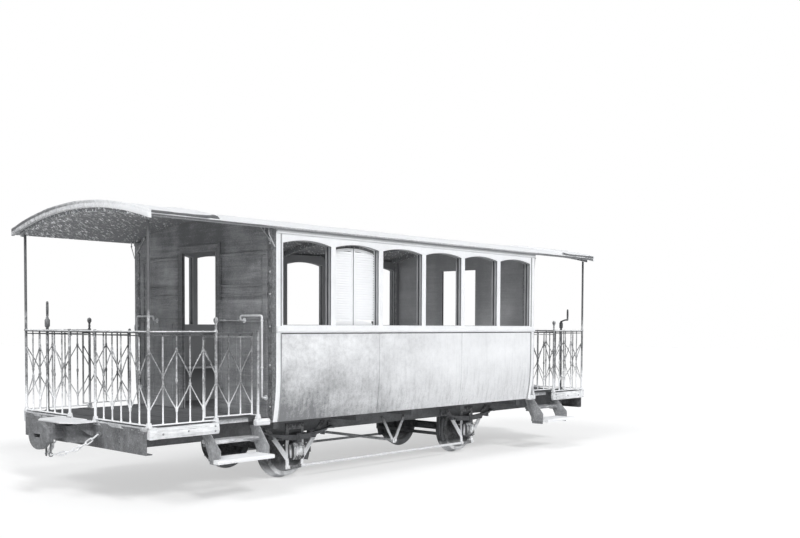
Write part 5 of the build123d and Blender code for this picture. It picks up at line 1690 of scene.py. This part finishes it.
def guard_rivets(x):
    """Rivets down the legs of a guard and nuts on the tie bar's ends."""
    spots = []
    for s in (-1, 1):
        spots += [(x + s * LEG_X, -GUARD_Y, up(0.30 + 0.06 * k)) for k in range(5)]
        spots += [(x + s * (0.16 + 0.075 * k), -GUARD_Y, up(0.36 + 0.062 * k)) for k in range(4)]
    nuts = [(x + s * LEG_X, -GUARD_Y - 0.014, TIE_Z) for s in (-1, 1)]
    return Heap().studs(spots, (0, -1, 0), 0.009, 0.006).studs(nuts, (0, -1, 0), 0.014, 0.012, 6)


at_axles(guard_rivets).make("guard_rivets", "guard_iron", "gear_iron", auto=50)
tie = Heap().block(-1.375, 1.375, -TIE_Y - 0.007, -TIE_Y + 0.007, TIE_Z - 0.0145, TIE_Z + 0.0145)
for s in (-1, 1):
    tie.turned((s * 1.345, -TIE_Y, TIE_Z), [(-0.012, 0.019), (0.012, 0.019)], "X", 6)
tie.sides().make("tie_bars", "tie_iron", "gear_iron", auto=50)

LID_FACE = -0.8005
# Half width, foot, shoulder, top, half width of the top and stand of a lid's plate and middle
LID_PLATES = ((0.060, 0.238, 0.316, 0.334, 0.044, 0.007),
              (0.046, 0.250, 0.308, 0.322, 0.034, 0.011))


def box_lid(x):
    """A hinged lid on an axlebox: a plate with a raised middle, a hinge and four bolts."""
    heap = Heap()
    for half, foot, shoulder, top, head, stand in LID_PLATES:
        right = [(half, foot), (half, shoulder), (head, top)]
        line = [(x + u, up(h)) for u, h in right] + [(x - u, up(h)) for u, h in right[::-1]]
        heap.prism(line, LID_FACE - stand, LID_FACE)
    heap.turned((x, LID_FACE - 0.004, up(0.340)), ((-0.05, 0.006), (0.05, 0.006)), "X", 10)
    bolts = [(x + s * 0.061, LID_FACE + 0.001, up(h)) for s in (-1, 1) for h in (0.222, 0.342)]
    return heap.studs(bolts, (0, -1, 0), 0.0085, 0.009, 6)


at_axles(box_lid).make("axlebox_lids", "box_cast", "gear_cast", edge=0.0018, auto=40)

SPRING_HALF, SPRING_SAG = 0.505, 0.060
SPRING_R = (SPRING_HALF**2 + SPRING_SAG**2) / (2 * SPRING_SAG)
SPRING_Z = up(0.412)


def spring_clips(x):
    """Clips round the ends of the longer leaves and bolts through the buckle."""
    heap = Heap()
    for s in (-1, 1):
        for share in (0.45, 0.72):
            dx = SPRING_HALF * share
            z = SPRING_Z + SPRING_R - math.sqrt(SPRING_R**2 - dx**2)
            dx = x + s * dx
            heap.block(dx - 0.010, dx + 0.010, -0.795, -0.737, z - 0.005, z + 0.045)
    bolts = [(x, -0.799, SPRING_Z + h) for h in (0.012, 0.040)]
    return heap.studs(bolts, (0, -1, 0), 0.010, 0.008, 6)


at_axles(spring_clips).make("spring_clips", "under_iron", "gear_iron", edge=0.0015)

SHAFT_X = 0.086
SHAFT_Z = 0.293


def brake_hanger():
    """A V of two flat bars that hangs from the solebar's face and holds the brake shaft's end."""
    face = -SOLEBAR_Y - 0.0003
    low, high = SHAFT_Z - 0.012, SOLEBAR_LOW + 0.080
    heap = Heap()
    for lean, wide in ((-0.205, 0.017), (0.190, 0.021)):
        foot, top = SHAFT_X + lean * 0.06, SHAFT_X + lean
        outline = [(foot - wide, low), (foot + wide, low), (top + wide, high), (top - wide, high)]
        heap.prism(outline, face - 0.012, face)
        bolt = (SHAFT_X + lean * 0.91, face - 0.012, SOLEBAR_LOW + 0.050)
        heap.studs([bolt], (0, -1, 0), 0.011, 0.007, 6)
    return heap.turned((SHAFT_X, face - 0.008, SHAFT_Z), [(-0.018, 0.034), (0.018, 0.034)], "Y", 20)


brake_shaft = Heap().turned((SHAFT_X, 0, SHAFT_Z), [(-0.756, 0.017), (0.756, 0.017)], "Y")
brake_hanger().sides().joined(brake_shaft).make("brake_hangers", "guard_iron", "gear_iron", auto=40)

# Centre buffers and safety chains

softened("centre_buffers", "buffer_iron", "gear_cast", edge=0.004)
CHAIN_START = np.array((-FRAME_HALF - 0.034, -0.383, up(0.606)))
CHAIN_END = np.array((-FRAME_HALF - 0.318, -0.052, up(0.415)))
CHAIN_DROP = 0.046
LINKS = 7
LINK_BAR = 0.010
LINK_HALF = 0.020


def chain_points():
    """Evenly spaced points on a line between the chain's ends that sags as a parabola."""
    t = np.linspace(0, 1, 401)[:, None]
    sag = np.array((0, 0, 4 * CHAIN_DROP)) * t * (1 - t)
    fine = CHAIN_START + (CHAIN_END - CHAIN_START) * t - sag
    run = np.concatenate([[0.0], np.cumsum(np.linalg.norm(np.diff(fine, axis=0), axis=1))])
    want = run[-1] * np.arange(LINKS + 1) / LINKS
    return np.stack([np.interp(want, run, fine[:, k]) for k in range(3)], axis=-1)


def chain_link(a, b, turned):
    """A stadium-shaped ring of round bar between two points of the chain."""
    along = unit(b - a)
    level = unit(np.cross((0.0, 0.0, 1.0), along))
    normal = np.cross(along, level) if turned else level
    wide = np.cross(normal, along)
    reach = (np.linalg.norm(b - a) + LINK_BAR + 0.0009) / 2
    half = LINK_HALF - LINK_BAR / 2
    arc = np.linspace(-math.pi / 2, math.pi / 2, 8)
    u = np.concatenate([reach - half + half * np.cos(arc), -(reach - half) - half * np.cos(arc)])
    v = np.concatenate([half * np.sin(arc), -half * np.sin(arc)])
    path = (a + b) / 2 + u[:, None] * along + v[:, None] * wide
    return Heap().tube(path, LINK_BAR * 0.66, 8, ref=tuple(normal), closed=True)


points = chain_points()
links = [chain_link(points[i], points[i + 1], i % 2 == 0) for i in range(LINKS)]
links[0].joined(*links[1:]).corners().make(
    "safety_chain_links", "worn_iron", "frame_iron", node="safety_chains", auto=60)

# Floor, light and camera

FLOOR_SIZE = 60.0
FLOOR_GLOW, GLOW_SHARE = 1.35, 0.40
WHITE = (1.0, 1.0, 1.0, 1.0)
SKY_COLOUR = (0.96, 0.98, 1.0, 1.0)


def floor():
    """A white floor far wider than the view, which shows itself a little brighter to the camera."""
    mesh = bpy.data.meshes.new("floor")
    corners = [(x * FLOOR_SIZE, y * FLOOR_SIZE, 0) for x, y in ((-1, -1), (1, -1), (1, 1), (-1, 1))]
    mesh.from_pydata(corners, [], [(0, 1, 2, 3)])
    obj = shown("floor", mesh)
    f = Finish("floor_white", roughness=1.0)
    f.colour(grey(0.94, 0.0))
    glow = f.node("ShaderNodeEmission", None, {"Color": WHITE, "Strength": FLOOR_GLOW})
    seen = Value(f.tree, f.node("ShaderNodeLightPath").outputs["Is Camera Ray"]) * GLOW_SHARE
    inputs = {0: seen, 1: f.shader.outputs[0], 2: glow.outputs[0]}
    both = f.node("ShaderNodeMixShader", None, inputs)
    f.tree.links.new(both.outputs[0], f.out.inputs[0])
    mesh.materials.append(f.material)


floor()


def sky(strength):
    """Even light of one strength, which the camera sees as plain white."""
    world = bpy.data.worlds.new("sky")
    bpy.context.scene.world = world
    world.use_nodes = True
    tree = world.node_tree
    tree.nodes.clear()
    both = tree.nodes.new("ShaderNodeMixShader")
    path = tree.nodes.new("ShaderNodeLightPath")
    tree.links.new(path.outputs["Is Camera Ray"], both.inputs[0])
    for slot, colour, level in ((1, SKY_COLOUR, strength), (2, WHITE, 1.0)):
        light = tree.nodes.new("ShaderNodeBackground")
        light.inputs[0].default_value = colour
        light.inputs[1].default_value = level
        tree.links.new(light.outputs[0], both.inputs[slot])
    out = tree.nodes.new("ShaderNodeOutputWorld")
    tree.links.new(both.outputs[0], out.inputs[0])


def sun(name, azimuth, elevation, strength, spread):
    """A distant lamp that shines from that compass angle and height."""
    lamp = bpy.data.lights.new(name, "SUN")
    lamp.energy = strength
    lamp.angle = math.radians(spread)
    a, e = math.radians(azimuth), math.radians(elevation)
    towards = Vector((math.cos(a) * math.cos(e), math.sin(a) * math.cos(e), math.sin(e)))
    shown(name, lamp).rotation_euler = towards.to_track_quat("Z", "Y").to_euler()


def cabin_lamp(x, power):
    """A soft lamp inside the cabin, so that its wood renders about as it is coloured."""
    lamp = bpy.data.lights.new("cabin", "POINT")
    lamp.energy = power
    lamp.shadow_soft_size = 0.3
    obj = shown("cabin", lamp)
    obj.location = (x, 0.0, 1.3)
    obj.visible_camera = False


sky(0.38)
sun("key", -106.0, 38.0, 1.75, 12.0)
sun("fill", -168.0, 50.0, 1.0, 20.0)
for x in (-1.2, 1.2):
    cabin_lamp(x, 14.0)

# Camera place, turn and framing, solved from the carriage's corners in the photo
CAMERA_PLACE = (-8.105, -8.4105, 1.674)
YAW, PITCH, ROLL = (math.radians(a) for a in (47.139, 2.0, 0.2513))
ahead = Vector((math.sin(YAW), math.cos(YAW), 0.0)) * math.cos(PITCH)
forward = ahead - Vector((0.0, 0.0, math.sin(PITCH)))
level_right = Vector((math.cos(YAW), -math.sin(YAW), 0.0))
level_up = level_right.cross(forward)
right = level_right * math.cos(ROLL) + level_up * math.sin(ROLL)
upward = level_up * math.cos(ROLL) - level_right * math.sin(ROLL)
lens = bpy.data.cameras.new("camera")
lens.sensor_width = 36.0
lens.lens = 42.26
lens.shift_x = 0.000575
lens.shift_y = 0.1109
camera = shown("camera", lens)
turn = Matrix((right, upward, -forward)).transposed().to_4x4()
camera.matrix_world = Matrix.Translation(Vector(CAMERA_PLACE)) @ turn
bpy.context.scene.camera = camera
bpy.context.scene.view_settings.view_transform = "Standard"
